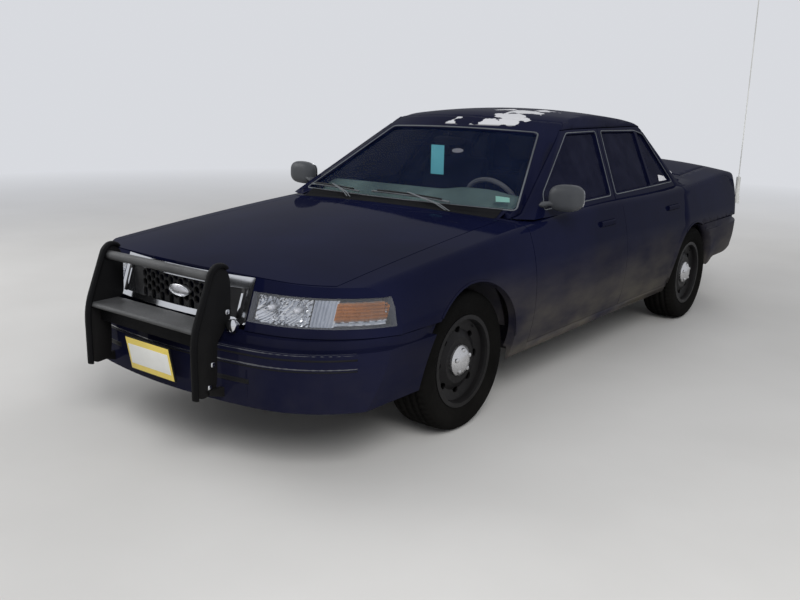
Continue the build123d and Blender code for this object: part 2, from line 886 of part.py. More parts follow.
# Chassis frame: two rails, cross-members and the front suspension arms.
rail_x = (400.0, 480.0)
rail_top = floor_bottom - 2.0
rail_line = [
    (-935, 330), (250, 330), (520, 190), (2585, 190), (2800, 415), (3350, 415), (3500, 400), (4150, 400),
    (4150, 500), (3500, 500), (3350, 515), (2700, 515), (2485, rail_top), (520, rail_top), (250, 430),
    (-935, 430),
]
cross_members = (
    ((-90, 90), (200, 335)),
    ((-900, -840), (340, 420)),
    ((1180, 1260), (190, 222)),
    ((3420, 3480), (450, 500)),
    ((4090, 4150), (420, 490)),
)
kingpin_x = front_track / 2 - 80.0
arm_heights = ((205.0, 225.0), (465.0, 485.0))
pin_radius = 12.0
arm_eye_radius = 27.0
arm_root = 520.0
with BuildPart() as left_arms:
    add(slab((470, 520), (-45, 45), (340, 490)))
    for low, high in arm_heights:
        with BuildSketch(Plane.XY.offset(low)):
            with BuildLine():
                Polyline(
                    (rail_x[0], at(-45)), (arm_root, at(-45)), (kingpin_x, at(-arm_eye_radius)),
                    (kingpin_x, at(arm_eye_radius)), (arm_root, at(45)), (rail_x[0], at(45)), close=True,
                )
            make_face()
            with Locations((kingpin_x, at(0))):
                Circle(arm_eye_radius)
                Circle(pin_radius + pin_play, mode=Mode.SUBTRACT)
        extrude(amount=high - low)
    add(slab((380, apron_x[1] + 1), (-50, 50), (400, 495)), mode=Mode.SUBTRACT)
with BuildPart() as chassis_frame:
    extrude(side_view(rail_line).moved(Location((rail_x[0], 0, 0))), amount=rail_x[1] - rail_x[0])
    add(left_arms.part)
    mirror(about=Plane.YZ)
    for behind_span, height_span in cross_members:
        add(slab((-rail_x[0] - 10, rail_x[0] + 10), behind_span, height_span))
finish(chassis_frame.part, "chassis_frame")

spindle_radius = 22.0
hub_inner = -60.0
spindle_reach = 30.0
bearing_play = 0.5
with BuildPart() as knuckle:
    with Locations((kingpin_x, at(0), axle_height)):
        Box(40, 64, 2 * (arm_heights[1][0] - axle_height) - 1)
    low, high = arm_heights[0][0] - 5, arm_heights[1][1] + 5
    with Locations((kingpin_x, at(0), (low + high) / 2)):
        Cylinder(pin_radius, high - low)
    add(wheel_space(0, 60, kingpin_x, front_track / 2 + hub_inner - bearing_play))
    add(wheel_space(0, spindle_radius, kingpin_x, front_track / 2 + spindle_reach))
    add(slab((kingpin_x - 20, kingpin_x + 15), (0, 170), (300, 330)))
finish(knuckle.part, "knuckle_left")
finish(mirrored(knuckle.part), "knuckle_right")

axle_tube_radius = 42.0
gear_case_radius = 125.0
gear_nose = (45.0, 190.0)
spring_x = 440.0
spring_radius = 38.0
spring_top = 415.0
with BuildPart() as rear_axle:
    end = rear_track / 2 + hub_inner - bearing_play
    add(wheel_space(wheelbase, axle_tube_radius, -end, end))
    tip = rear_track / 2 + spindle_reach
    add(wheel_space(wheelbase, spindle_radius, -tip, tip))
    with Locations((0, at(wheelbase), axle_height)):
        Sphere(gear_case_radius)
    nose = gear_nose[0]
    add(
        slab(
            (-nose, nose), (wheelbase - gear_nose[1], wheelbase), (axle_height - nose, axle_height + nose)
        )
    )
    for side in (1, -1):
        with Locations((side * spring_x, at(wheelbase), (axle_height + spring_top) / 2)):
            Cylinder(spring_radius, spring_top - axle_height)
finish(rear_axle.part, "rear_axle")

gearbox_rear = 900.0
shaft_drop = 10.0
shaft_radius = 38.0
with BuildPart() as driveshaft:
    with BuildSketch(Plane.XZ.offset(-at(gearbox_rear))):
        with Locations((0, axle_height - shaft_drop)):
            Circle(shaft_radius)
    extrude(amount=-(wheelbase - gear_nose[1] - gearbox_rear))
finish(driveshaft.part, "driveshaft")

with BuildPart() as engine:
    add(slab((-250, 250), (-480, 180), (335, 790)))
    add(slab((-105, 105), (180, gearbox_rear), (270, 388)))
finish(engine.part, "engine")

# Wheels, drawn about the axle line, with 0 at the wheel's centre plane.
tyre_half = tyre_width / 2
tyre_profile = [
    (-98, 214), (-98, 228), (-tyre_half, 262), (-tyre_half, 306), (-92, 340), (-70, tyre_radius),
    (70, tyre_radius), (92, 340), (tyre_half, 306), (tyre_half, 262), (98, 228), (98, 214),
]
rim_profile = [
    (-104, 227.6), (-98.5, 227.6), (-98.5, 213.6), (-50, 213.6), (-40, 206), (40, 206), (50, 213.6),
    (98.5, 213.6), (98.5, 227.6), (104, 227.6), (104, 207), (92, 202), (70, 198), (56, 150), (76, 112),
    (72, 62), (72, 22.4), (-60, 22.4), (-60, 76), (-42, 76), (-42, 142), (-16, 142), (-16, 76), (45, 76),
    (64, 86), (67, 112), (47, 150), (58, 190), (40, 197), (-88, 202), (-104, 207),
]
cap_tip = (112, 0)
cap_shoulder = (106, 45)
cap_rim = (84, 76)
cap_back = (73.6, 76)
cap_inner = (82.5, 0)
hole_count = 8
hole_ring = 152.0
hole_size = (21.0, 15.0)
for place, track, behind in (("front", front_track, 0), ("rear", rear_track, wheelbase)):
    for side, hand in ((1, "left"), (-1, "right")):
        hub = (side * track / 2, at(behind), axle_height)
        wheel_plane = Plane(origin=hub, x_dir=(side, 0, 0), z_dir=(0, -side, 0))
        axle_line = Axis(wheel_plane.origin, (1, 0, 0))
        with BuildPart() as tyre:
            with BuildSketch(wheel_plane):
                with BuildLine():
                    Polyline(tyre_profile, close=True)
                make_face()
            revolve(axis=axle_line)
        finish(tyre.part, f"tyre_{place}_{hand}")
        with BuildPart() as rim:
            with BuildSketch(wheel_plane):
                with BuildLine():
                    Polyline(rim_profile, close=True)
                make_face()
            revolve(axis=axle_line)
            with BuildSketch(Plane.YZ.offset(side * track / 2)):
                with Locations((at(behind), axle_height)):
                    with PolarLocations(hole_ring, hole_count):
                        Ellipse(hole_size[1], hole_size[0])
            extrude(amount=side * 120, mode=Mode.SUBTRACT)
        finish(rim.part, f"rim_{place}_{hand}")
        with BuildPart() as cap:
            with BuildSketch(wheel_plane):
                with BuildLine():
                    Line(cap_inner, cap_tip)
                    ThreePointArc(cap_tip, cap_shoulder, cap_rim)
                    Line(cap_rim, cap_back)
                    Line(cap_back, cap_inner)
                make_face()
            revolve(axis=axle_line)
        finish(cap.part, f"hub_cap_{place}_{hand}")

dash_rear = 900.0
dash_bottom = 700.0
dash_radius = 30.0
with BuildPart() as dashboard:
    add(slab((-740, 740), (660, dash_rear), (dash_bottom, 980)))
    fillet(dashboard.edges().filter_by(Axis.X), dash_radius)
    add(slab((-700, 700), (cabin_front + seam, 700), (740, 900)))
finish(dashboard.part, "dashboard")

wheel_centre = (390, at(1030), 950)
wheel_tilt = (0, 0.9, 0.42)
wheel_radius = 180.0
wheel_grip = 15.0
spoke_size = (340.0, 30.0, 16.0)
boss_size = (45.0, 40.0)
column_size = (28.0, 150.0)
column_drop = 85.0
with BuildPart() as steering_wheel:
    wheel_face = Plane(origin=wheel_centre, x_dir=(1, 0, 0), z_dir=wheel_tilt)
    with BuildSketch(
        Plane(origin=wheel_face.origin, x_dir=wheel_face.x_dir, z_dir=-wheel_face.y_dir)
    ):
        with Locations((wheel_radius, 0)):
            RegularPolygon(wheel_grip, 8)
    revolve(axis=Axis(wheel_face.origin, wheel_face.z_dir))
    with Locations(wheel_face):
        Box(*spoke_size)
        Cylinder(*boss_size)
        with Locations((0, 0, -column_drop)):
            Cylinder(*column_size)
    add(slab((300, 480), (700, dash_rear + seam), (dash_bottom, 1100)), mode=Mode.SUBTRACT)
finish(steering_wheel.part, "steering_wheel")

seat_play = 10.0
cushion_outer = 680.0
backrest_x = (150, 630)
headrest_x = (300, 480)
rear_seat_half = 670.0
with BuildPart() as front_seats:
    cushion = [(1120, floor_top), (1120, 560), (1180, 620), (1560, 560), (1600, floor_top)]
    back = [(1540, 540), (1600, 500), (1700, 560), (1860, 1150), (1800, 1190), (1740, 1150)]
    add(across(side_view(cushion), tunnel_half_width + seat_play, cushion_outer))
    add(across(side_view(back), *backrest_x))
    add(slab(headrest_x, (1790, 1870), (1150, 1290)))
    mirror(about=Plane.YZ)
finish(front_seats.part, "front_seats")

with BuildPart() as rear_seat:
    cushion = [(2060, floor_top), (2060, 600), (2120, 640), (2434, 595), (2434, floor_top)]
    back = [(2410, 560), (2560, 560), (2638, 980), (2560, 1000)]
    for outline in (cushion, back):
        add(across(side_view(outline), -rear_seat_half, rear_seat_half))
    half = tunnel_half_width + seam
    add(slab((-half, half), (2000, 2500), (0, tunnel_top + seam)), mode=Mode.SUBTRACT)
finish(rear_seat.part, "rear_seat")

pipe_x = 250.0
pipe_radius = 30.0
pipe_bend = 120.0
silencer_half = 80.0
pipe_height = floor_bottom - pipe_radius - 1
pipe_route = [
    (200, 250),
    (600, pipe_height),
    (2520, pipe_height),
    (2750, 440),
    (3300, 440),
    (3700, 330),
    (4150, 330),
]
with BuildPart() as exhaust:
    with BuildLine() as route:
        FilletPolyline([(pipe_x, at(behind), height) for behind, height in pipe_route], radius=pipe_bend)
    with BuildSketch(Plane(origin=route.wire() @ 0, z_dir=route.wire() % 0)):
        Circle(pipe_radius)
    sweep()
    add(
        slab(
            (pipe_x - silencer_half, pipe_x + silencer_half),
            (1500, 2050),
            (floor_bottom - 110, floor_bottom - seam),
        )
    )
    mirror(about=Plane.YZ)
finish(exhaust.part, "exhaust")

antenna_x = 925.0
antenna_behind = 3950.0
# Height of the middle, radius and length of the base, the coil and the whip.
antenna_pieces = ((800, 22, 60), (900, 17, 170), (1900, 4, 1900))
with BuildPart() as antenna:
    for middle, radius, length in antenna_pieces:
        with Locations((antenna_x, at(antenna_behind), middle)):
            Cylinder(radius, length)
    add(slab((850, antenna_x), (antenna_behind - 25, antenna_behind + 25), (780, 800)))
    add(outer_lower.moved(Location((seam, 0, 0))), mode=Mode.SUBTRACT)
finish(antenna.part, "antenna")

mirror_place = (990, at(830), 1078)
mirror_size = (170.0, 100.0, 125.0)
mirror_radius = 30.0
with BuildPart() as mirror_left:
    with Locations(mirror_place):
        Box(*mirror_size)
    fillet(mirror_left.edges().filter_by(Axis.X), mirror_radius)
    add(slab((800, 930), (778, 828), (1008, 1045)))
    add(greenhouse(-seam), mode=Mode.SUBTRACT)
    add(lower_body(-seam), mode=Mode.SUBTRACT)
finish(mirror_left.part, "mirror_left")
finish(mirrored(mirror_left.part), "mirror_right")
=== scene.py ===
import bpy
import bmesh
import json
import math
from mathutils import Matrix, Vector
from mathutils.bvhtree import BVHTree


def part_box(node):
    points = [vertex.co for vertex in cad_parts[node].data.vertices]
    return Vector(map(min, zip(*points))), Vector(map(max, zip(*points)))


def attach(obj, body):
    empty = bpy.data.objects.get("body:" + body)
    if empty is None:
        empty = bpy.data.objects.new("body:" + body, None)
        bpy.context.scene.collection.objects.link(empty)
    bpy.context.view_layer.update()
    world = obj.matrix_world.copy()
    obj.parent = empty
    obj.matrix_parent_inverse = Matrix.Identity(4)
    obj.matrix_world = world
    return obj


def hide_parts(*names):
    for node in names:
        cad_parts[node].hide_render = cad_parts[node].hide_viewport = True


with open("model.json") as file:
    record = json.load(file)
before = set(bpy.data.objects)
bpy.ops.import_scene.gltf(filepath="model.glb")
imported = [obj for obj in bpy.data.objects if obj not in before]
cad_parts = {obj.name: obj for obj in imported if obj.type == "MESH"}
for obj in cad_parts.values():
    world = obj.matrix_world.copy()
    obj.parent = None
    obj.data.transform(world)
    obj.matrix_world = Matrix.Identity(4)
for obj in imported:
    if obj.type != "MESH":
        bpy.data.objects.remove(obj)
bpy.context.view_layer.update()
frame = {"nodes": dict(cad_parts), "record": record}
nodes = frame["nodes"]

# Outlines are in millimetres, with their places along the car behind the front axle, and pieces are in metres.
FRONT_AXLE = -1.555
WHEELBASE, WHEEL_HEIGHT = 2913, 345
SIDES = ((1, "left"), (-1, "right"))
WHEELS = tuple((place, hand, side) for place in ("front", "rear") for side, hand in SIDES)


def at(behind):
    """Place along the car, in metres, of a distance behind the front axle in millimetres."""
    return FRONT_AXLE + behind / 1000


def behind_axle(y):
    """Distance behind the front axle, in millimetres, of a place along the car in metres."""
    return y * 1000 - FRONT_AXLE * 1000


def placed(name, data):
    """New object in the scene."""
    thing = bpy.data.objects.new(name, data)
    bpy.context.scene.collection.objects.link(thing)
    return thing


# Camera, fitted to the photograph.
LENS, SENSOR, FAR_CLIP = 38.27, 36.0, 200
YAW, PITCH, ROLL = (math.radians(angle) for angle in (37.845, 13.616, 1.196))
CAMERA_PLACE = (3.0559, -4.8308, 1.5871)

camera_data = bpy.data.cameras.new("camera")
camera_data.lens, camera_data.sensor_width, camera_data.clip_end = LENS, SENSOR, FAR_CLIP
camera = placed("camera", camera_data)
bpy.context.scene.camera = camera
back = Vector((math.sin(YAW) * math.cos(PITCH), -math.cos(YAW) * math.cos(PITCH), math.sin(PITCH)))
right = (-back).cross(Vector((0, 0, 1))).normalized()
up = right.cross(-back)
right, up = math.cos(ROLL) * right + math.sin(ROLL) * up, math.cos(ROLL) * up - math.sin(ROLL) * right
camera.matrix_world = Matrix.Translation(CAMERA_PLACE) @ Matrix((right, up, back)).transposed().to_4x4()
bpy.context.scene.view_settings.view_transform = "Standard"


# Materials.
def node_maker(tree):
    """Function that adds a node to a tree: inputs are values or sockets, settings are the node's own."""

    def node(kind, inputs=None, **settings):
        item = tree.nodes.new(kind)
        for key, value in settings.items():
            setattr(item, key, value)
        for key, value in (inputs or {}).items():
            if isinstance(value, bpy.types.NodeSocket):
                tree.links.new(value, item.inputs[key])
            else:
                item.inputs[key].default_value = value
        return item

    return node


def new_material(name):
    """Node material with its shader, helpers that add nodes and links, and the place on the object."""
    made = bpy.data.materials.new(name)
    made.use_nodes = True
    shader = next(n for n in made.node_tree.nodes if n.type == "BSDF_PRINCIPLED")
    node = node_maker(made.node_tree)
    return made, shader, node, made.node_tree.links.new, node("ShaderNodeTexCoord").outputs["Object"]


def mixed(node, factor, a, b):
    """Colour mix of two colours or sockets."""
    item = node("ShaderNodeMix", {0: factor}, data_type="RGBA")
    for index, value in ((6, a), (7, b)):
        if isinstance(value, bpy.types.NodeSocket):
            item.id_data.links.new(value, item.inputs[index])
        else:
            item.inputs[index].default_value = (*value, 1)
    return item.outputs[2]


def ramp(node, value, low, high, a=0.0, b=1.0):
    """Maps a value from one range to another, clamped."""
    return node("ShaderNodeMapRange", {0: value, 1: low, 2: high, 3: a, 4: b}).outputs[0]


def joined(node, operation, a, b):
    """Result of a sum, product or the like of two values."""
    return node("ShaderNodeMath", {0: a, 1: b}, operation=operation).outputs[0]


def joined_vector(node, operation, *values):
    """The vector node's result for one or two vectors, with the length as a number."""
    made = node("ShaderNodeVectorMath", dict(enumerate(values)), operation=operation)
    return made.outputs[1 if operation == "LENGTH" else 0]


def noise(node, place, scale, detail=4.0, stretch=None):
    """Noise value at a place, stretched if asked."""
    if stretch:
        place = joined_vector(node, "MULTIPLY", place, stretch)
    return node("ShaderNodeTexNoise", {"Vector": place, "Scale": scale, "Detail": detail}).outputs[0]


finishes = {}
DIRT_COLOUR = (0.13, 0.115, 0.095)
DIRT_HEIGHTS = (0.15, 0.75)
FINISH_COAT_ROUGH, BUMP_DEPTH = 0.08, 0.002


def grained(name, colour, rough, metallic=0.0, spread=0.25, scale=60.0, bump=0.1, coat=0.0, specular=0.5, dirt=0.0):
    """Worn finish: colour and roughness wander with noise, fine bump, dust low down."""
    made, shader, node, link, place = new_material(name)
    fine = noise(node, place, scale)
    broad = noise(node, place, 3.0, 6.0)
    darker = tuple(c * (1 - spread) for c in colour)
    lighter = tuple(min(1, c * (1 + spread)) for c in colour)
    tone = mixed(node, ramp(node, broad, 0.35, 0.65), darker, lighter)
    if dirt:
        height = node("ShaderNodeSeparateXYZ", {0: place}).outputs[2]
        low = ramp(node, height, *DIRT_HEIGHTS, dirt, 0.0)
        low = joined(node, "MULTIPLY", low, ramp(node, broad, 0.3, 0.7, 0.3, 1.0))
        tone = mixed(node, low, tone, DIRT_COLOUR)
    link(tone, shader.inputs["Base Color"])
    link(ramp(node, fine, 0.3, 0.7, rough * 0.85, min(1, rough * 1.15)), shader.inputs["Roughness"])
    shader.inputs["Metallic"].default_value = metallic
    shader.inputs["Coat Weight"].default_value = coat
    shader.inputs["Coat Roughness"].default_value = FINISH_COAT_ROUGH
    shader.inputs["Specular IOR Level"].default_value = specular
    if bump:
        relief = node("ShaderNodeBump", {"Height": fine, "Strength": bump, "Distance": BUMP_DEPTH})
        link(relief.outputs[0], shader.inputs["Normal"])
    finishes[name] = made
    return made


PAINT_TONES = ((0.0036, 0.0045, 0.018), (0.0053, 0.0067, 0.026))
# The brown-grey tone low on the paint is partly dust and partly painted reflection of the ground, weaker over the front
# bumper.
PAINT_DUST_AND_REFLECTION, BARE_WHITE = (0.115, 0.103, 0.080), (0.62, 0.62, 0.64)
PAINT_GLOSS, PAINT_ROUGH, GLOSS_ROUGH = 0.12, 0.5, (0.035, 0.075)
DUST_AND_REFLECTION_HEIGHTS, DUST_AND_REFLECTION_MOST, DUST_AND_REFLECTION_STRETCH = (0.24, 0.78), 0.85, (1, 0.35, 1)
BUMPER_FADE, BUMPER_FADE_SHARE = (-1.9, -1.5), 0.12
BARE_HEIGHTS, ROOF_HEIGHT = (1.41, 1.42), 1.47
# Across, along and radius of each patch on the roof, with how far and how sharply its edge wanders.
BARE_PATCHES = (
    (0.21, -0.36, 0.105), (0.30, -0.20, 0.11), (0.30, -0.02, 0.10),
    (0.31, 0.15, 0.075), (-0.03, -0.40, 0.05), (0.13, 0.05, 0.04),
)
BARE_WANDER, BARE_EDGE = 0.07, 0.008


def paint_material():
    """Dark blue-black paint with dust and painted ground reflection low down, and worn white patches on the roof."""
    made, shader, node, link, place = new_material("paint")
    broad = noise(node, place, 1.7, 5.0)
    fine = noise(node, place, 45.0, 5.0)
    tone = mixed(node, ramp(node, broad, 0.35, 0.65), *PAINT_TONES)
    across, along, height = node("ShaderNodeSeparateXYZ", {0: place}).outputs
    # Brown-grey tone low down, in streaks: dust mixed with painted ground reflection, faded out over the front bumper.
    streaks = ramp(node, noise(node, place, 7.0, 8.0, DUST_AND_REFLECTION_STRETCH), 0.32, 0.66, 0.25, 1.0)
    dust_and_reflection = joined(node, "MULTIPLY", ramp(node, height, *DUST_AND_REFLECTION_HEIGHTS, DUST_AND_REFLECTION_MOST, 0.0), streaks)
    dust_and_reflection = joined(node, "MULTIPLY", dust_and_reflection, ramp(node, along, *BUMPER_FADE, BUMPER_FADE_SHARE, 1.0))
    tone = mixed(node, dust_and_reflection, tone, PAINT_DUST_AND_REFLECTION)
    edge = ramp(node, noise(node, place, 9.0, 6.0), 0.3, 0.7, -BARE_WANDER, BARE_WANDER)
    bare = None
    for x, y, reach in BARE_PATCHES:
        away = joined_vector(node, "SUBTRACT", place, (x, y, ROOF_HEIGHT))
        away = joined_vector(node, "LENGTH", joined_vector(node, "MULTIPLY", away, (1, 1, 0)))
        spot = ramp(node, joined(node, "ADD", away, edge), reach, reach - BARE_EDGE)
        bare = spot if bare is None else joined(node, "MAXIMUM", bare, spot)
    bare = joined(node, "MULTIPLY", bare, ramp(node, height, *BARE_HEIGHTS))
    tone = mixed(node, bare, tone, BARE_WHITE)
    link(tone, shader.inputs["Base Color"])
    link(ramp(node, fine, 0.3, 0.7, *GLOSS_ROUGH), shader.inputs["Coat Roughness"])
    shader.inputs["Roughness"].default_value = PAINT_ROUGH
    shader.inputs["Coat Weight"].default_value = PAINT_GLOSS
    shader.inputs["Specular IOR Level"].default_value = 0.0
    finishes["paint"] = made


paint_material()
grained("black_plastic", (0.014, 0.014, 0.015), 0.55, dirt=0.3, specular=0.2)
grained("grey_plastic", (0.050, 0.053, 0.058), 0.45, bump=0.05, specular=0.25)
grained("black_steel", (0.006, 0.006, 0.0065), 0.5, bump=0.25, dirt=0.05, scale=140, specular=0.08)
grained("frame_steel", (0.02, 0.019, 0.018), 0.7, bump=0.3, dirt=0.8)
grained("cast_iron", (0.035, 0.031, 0.028), 0.8, metallic=0.3, bump=0.6, dirt=0.4, specular=0.2)
grained("aluminium", (0.4, 0.4, 0.4), 0.5, metallic=0.9, bump=0.3)
grained("chrome", (0.65, 0.66, 0.68), 0.14, metallic=1.0, bump=0.0, spread=0.08)
grained("dash_plastic", (0.27, 0.40, 0.36), 0.7, scale=400, bump=0.3, specular=0.2)
grained("wheel_leather", (0.30, 0.31, 0.32), 0.5, scale=300)
grained("seat_fabric", (0.03, 0.033, 0.037), 0.9, scale=500, bump=0.4, specular=0.1)
grained("exhaust_steel", (0.22, 0.19, 0.16), 0.5, metallic=0.8, bump=0.3)
grained("antenna_white", (0.72, 0.72, 0.69), 0.4, bump=0.0)
grained("tyre", (0.0045, 0.0045, 0.0045), 0.85, bump=0.2, dirt=0.04, specular=0.02)
grained("wheel_paint", (0.005, 0.005, 0.006), 0.45, dirt=0.06, specular=0.15)
grained("tail_lens", (0.115, 0.003, 0.004), 0.4, coat=0.25, bump=0.0, specular=0.05)


def glass_material(name, tint, alpha, shine):
    """Tinted pane with a clear gloss, seen from both sides."""
    made, shader, node, link, place = new_material(name)
    smear = noise(node, place, 9.0, 6.0)
    tone = mixed(node, ramp(node, smear, 0.4, 0.7, 0.0, 0.5), tint, tuple(min(1, 1.6 * c + 0.01) for c in tint))
    link(tone, shader.inputs["Base Color"])
    link(ramp(node, smear, 0.35, 0.7, 0.02, 0.07), shader.inputs["Coat Roughness"])
    shader.inputs["Alpha"].default_value = alpha
    shader.inputs["Specular IOR Level"].default_value = 0.0
    shader.inputs["Coat Weight"].default_value = shine
    made.surface_render_method = "BLENDED"
    finishes[name] = made


glass_material("clear_glass", (0.004, 0.009, 0.032), 0.33, 0.16)
glass_material("tinted_glass", (0.0035, 0.0045, 0.017), 0.92, 0.09)
glass_material("lamp_lens", (0.5, 0.52, 0.55), 0.10, 1.0)

slots = {item["node"]: item["material_slot"] for item in frame["record"]["subparts"]}
for name, slot in slots.items():
    nodes[name].data.materials.clear()
    nodes[name].data.materials.append(finishes.get(slot, finishes["paint"]))


# Geometry helpers. A material is given by its finish's name, and pieces ride on the root unless told otherwise.
def piece(name, verts, faces, material, body="root", smooth=True, stands_for=None):
    """Mesh piece that rides on a body, and may stand for a CAD node."""
    mesh = bpy.data.meshes.new(name)
    mesh.from_pydata([tuple(v) for v in verts], [], faces)
    mesh.validate()
    work = bmesh.new()
    work.from_mesh(mesh)
    bmesh.ops.recalc_face_normals(work, faces=work.faces)
    work.to_mesh(mesh)
    work.free()
    for polygon in mesh.polygons:
        polygon.use_smooth = smooth
    mesh.materials.append(finishes[material])
    thing = placed(name, mesh)
    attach(thing, body)
    if stands_for:
        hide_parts(stands_for)
    return thing


def bevelled(thing, width, segments):
    """Rounds the sharp edges of a piece."""
    modifier = thing.modifiers.new("edges", "BEVEL")
    modifier.width, modifier.segments, modifier.limit_method = width, segments, "ANGLE"
    return thing


def angles(count, shift=0.0):
    """Equal steps round a full turn."""
    return [2 * math.pi * (k + shift) / count for k in range(count)]


def quads(rings, count, loop=False, round_rings=True):
    """Faces between rings of points. The rings may close in a loop, and each ring's points may be open."""
    faces = []
    for i in range(rings if loop else rings - 1):
        a, b = i * count, (i + 1) % rings * count
        for k in range(count if round_rings else count - 1):
            after = (k + 1) % count
            faces.append((a + k, a + after, b + after, b + k))
    return faces


def caps(rings, count):
    """End faces of a row of closed rings."""
    return [tuple(range(count)), tuple((rings - 1) * count + k for k in range(count))]


def tube(
    name, points, radius, material, body="root", closed=False, flat=1.0, sides=8, normals=None,
    stands_for=None,
):
    """Round or flattened bead along a line of points."""
    verts = []
    count = len(points)
    points = [Vector(p) for p in points]
    for i, point in enumerate(points):
        before = points[i - 1] if i or closed else point
        after = points[(i + 1) % count] if i < count - 1 or closed else point
        ahead = (after - before).normalized()
        out = Vector(normals[i]) if normals else Vector((0, 0, 1))
        if abs(ahead.dot(out)) > 0.95:
            out = Vector((1, 0, 0))
        side = ahead.cross(out).normalized()
        out = side.cross(ahead).normalized()
        for turn in angles(sides):
            verts.append(point + side * math.cos(turn) * radius + out * math.sin(turn) * radius * flat)
    faces = quads(count, sides, loop=closed) + ([] if closed else caps(count, sides))
    return piece(name, verts, faces, material, body, stands_for=stands_for)


def lofted(name, rings, material, body="root", levels=0, smooth=True, stands_for=None):
    """Closed skin through rings of points, all with the same count."""
    verts = [v for ring in rings for v in ring]
    size = (len(rings), len(rings[0]))
    made = piece(name, verts, quads(*size) + caps(*size), material, body, smooth, stands_for)
    if levels:
        modifier = made.modifiers.new("soft", "SUBSURF")
        modifier.levels = modifier.render_levels = levels
    return made


def turned(
    name, profile, centre, material, body="root", segments=64, wave=None, axis="x", closed=True,
    stands_for=None,
):
    """Ring turned about a line through a centre: profile points are (along, radius) in millimetres."""
    verts = []
    for i, turn in enumerate(angles(segments)):
        for along, radius in profile:
            r = radius + (wave(i, along, radius) if wave else 0)
            across, rise = r * math.cos(turn), r * math.sin(turn)
            offset = (along, across, rise) if axis == "x" else (across, along, rise)
            verts.append(Vector(centre) + Vector(offset) / 1000)
    faces = quads(segments, len(profile), loop=True, round_rings=closed)
    return piece(name, verts, faces, material, body, stands_for=stands_for)


def box_piece(name, low, high, material, body="root", bevel=0.004, shear=None, stands_for=None):
    """Block with rounded edges between two corners in metres."""
    (x0, y0, z0), (x1, y1, z1) = low, high
    verts = [(x, y, z) for x in (x0, x1) for y in (y0, y1) for z in (z0, z1)]
    if shear:
        verts = [shear(*v) for v in verts]
    faces = [(0, 1, 3, 2), (4, 6, 7, 5), (0, 4, 5, 1), (2, 3, 7, 6), (0, 2, 6, 4), (1, 5, 7, 3)]
    return bevelled(piece(name, verts, faces, material, body, stands_for=stands_for), bevel, 3)


def rounded_block(
    name, centre, half, power, material, body="root", shear=(0, 0), segments=(28, 18), stands_for=None
):
    """Block with soft corners: half sizes in metres, a power of 2 gives an ellipsoid and more is squarer."""

    def soft(v):
        return math.copysign(abs(v) ** (2 / power), v)

    rings = []
    around, levels = segments
    for k in range(1, levels):
        lat = -math.pi / 2 + math.pi * k / levels
        ring = []
        for lon in angles(around):
            x, y = (soft(math.cos(lat)) * soft(way(lon)) for way in (math.cos, math.sin))
            z = soft(math.sin(lat))
            place = (half[0] * x * (1 + shear[0] * z), half[1] * y, half[2] * z + shear[1] * half[2] * x)
            ring.append(tuple(c + p for c, p in zip(centre, place)))
        rings.append(ring)
    return lofted(name, rings, material, body, stands_for=stands_for)


def rounded(points, radius, steps=4):
    """Closed 2D outline with rounded corners."""
    made = []
    count = len(points)
    for i in range(count):
        a, b, c = (Vector(points[j % count]) for j in (i - 1, i, i + 1))
        reach = min(radius, (a - b).length / 2.2, (c - b).length / 2.2)
        start, end = b + (a - b).normalized() * reach, b + (c - b).normalized() * reach
        for k in range(steps + 1):
            t = k / steps
            made.append((1 - t) ** 2 * start + 2 * t * (1 - t) * b + t * t * end)
    return made


def grown(points, amount):
    """Closed 2D outline moved outwards."""
    count = len(points)
    area = sum(points[i - 1][0] * points[i][1] - points[i][0] * points[i - 1][1] for i in range(count))
    way = 1 if area > 0 else -1
    made = []
    for i in range(count):
        a, b, c = (Vector(points[j % count]) for j in (i - 1, i, i + 1))
        edges = [(b - a).normalized(), (c - b).normalized()]
        normal = sum((Vector((e.y, -e.x)) * way for e in edges), Vector((0, 0)))
        made.append(b + normal.normalized() * amount / max(0.4, normal.length / 2))
    return made


def dense(points, step, closed=True):
    """Points added along the runs so that none is longer than a step."""
    made = []
    count = len(points)
    for i in range(count if closed else count - 1):
        a, b = Vector(points[i]), Vector(points[(i + 1) % count])
        parts = max(1, math.ceil((b - a).length / step))
        made += [a + (b - a) * k / parts for k in range(parts)]
    if not closed:
        made.append(Vector(points[-1]))
    return made


# Surfaces of the greenhouse: plan points (x, behind) at the belt and at the cant rail, as in the solids.
BELT, RAIL = 960, 1400
CABIN_SIDE = (((883, 655), (640, 1345)), ((875, 1700), (626, 1850)), ((835, 2920), (605, 2610)))
WINDSCREEN = (((805, 605), (560, 1300)), ((0, 482), (0, 1165)))
REAR_SCREEN = (((740, 3130), (540, 2640)), ((0, 3285), (0, 2665)))
# Foot of each screen's sloping plane (behind, height), and its unit step up the slope.
WINDSCREEN_SLOPE = ((520, 985), (660 / 790.5, 435 / 790.5))
REAR_SCREEN_SLOPE = ((3158, 1050), (-553 / 666.4, 372 / 666.4))


def arc_through(a, b, c):
    """Centre and radius of the circle through three plan points."""
    (ax, ay), (bx, by), (cx, cy) = a, b, c
    d = 2 * (ax * (by - cy) + bx * (cy - ay) + cx * (ay - by))
    ux = ((ax**2 + ay**2) * (by - cy) + (bx**2 + by**2) * (cy - ay) + (cx**2 + cy**2) * (ay - by)) / d
    uy = ((ax**2 + ay**2) * (cx - bx) + (bx**2 + by**2) * (ax - cx) + (cx**2 + cy**2) * (bx - ax)) / d
    return ux, uy, math.hypot(ax - ux, ay - uy)


def raised(point, height):
    """Plan point of the greenhouse outline at a height, from its places at the belt and the cant rail."""
    rise = (height - BELT) / (RAIL - BELT)
    return tuple(a + rise * (b - a) for a, b in zip(*point))


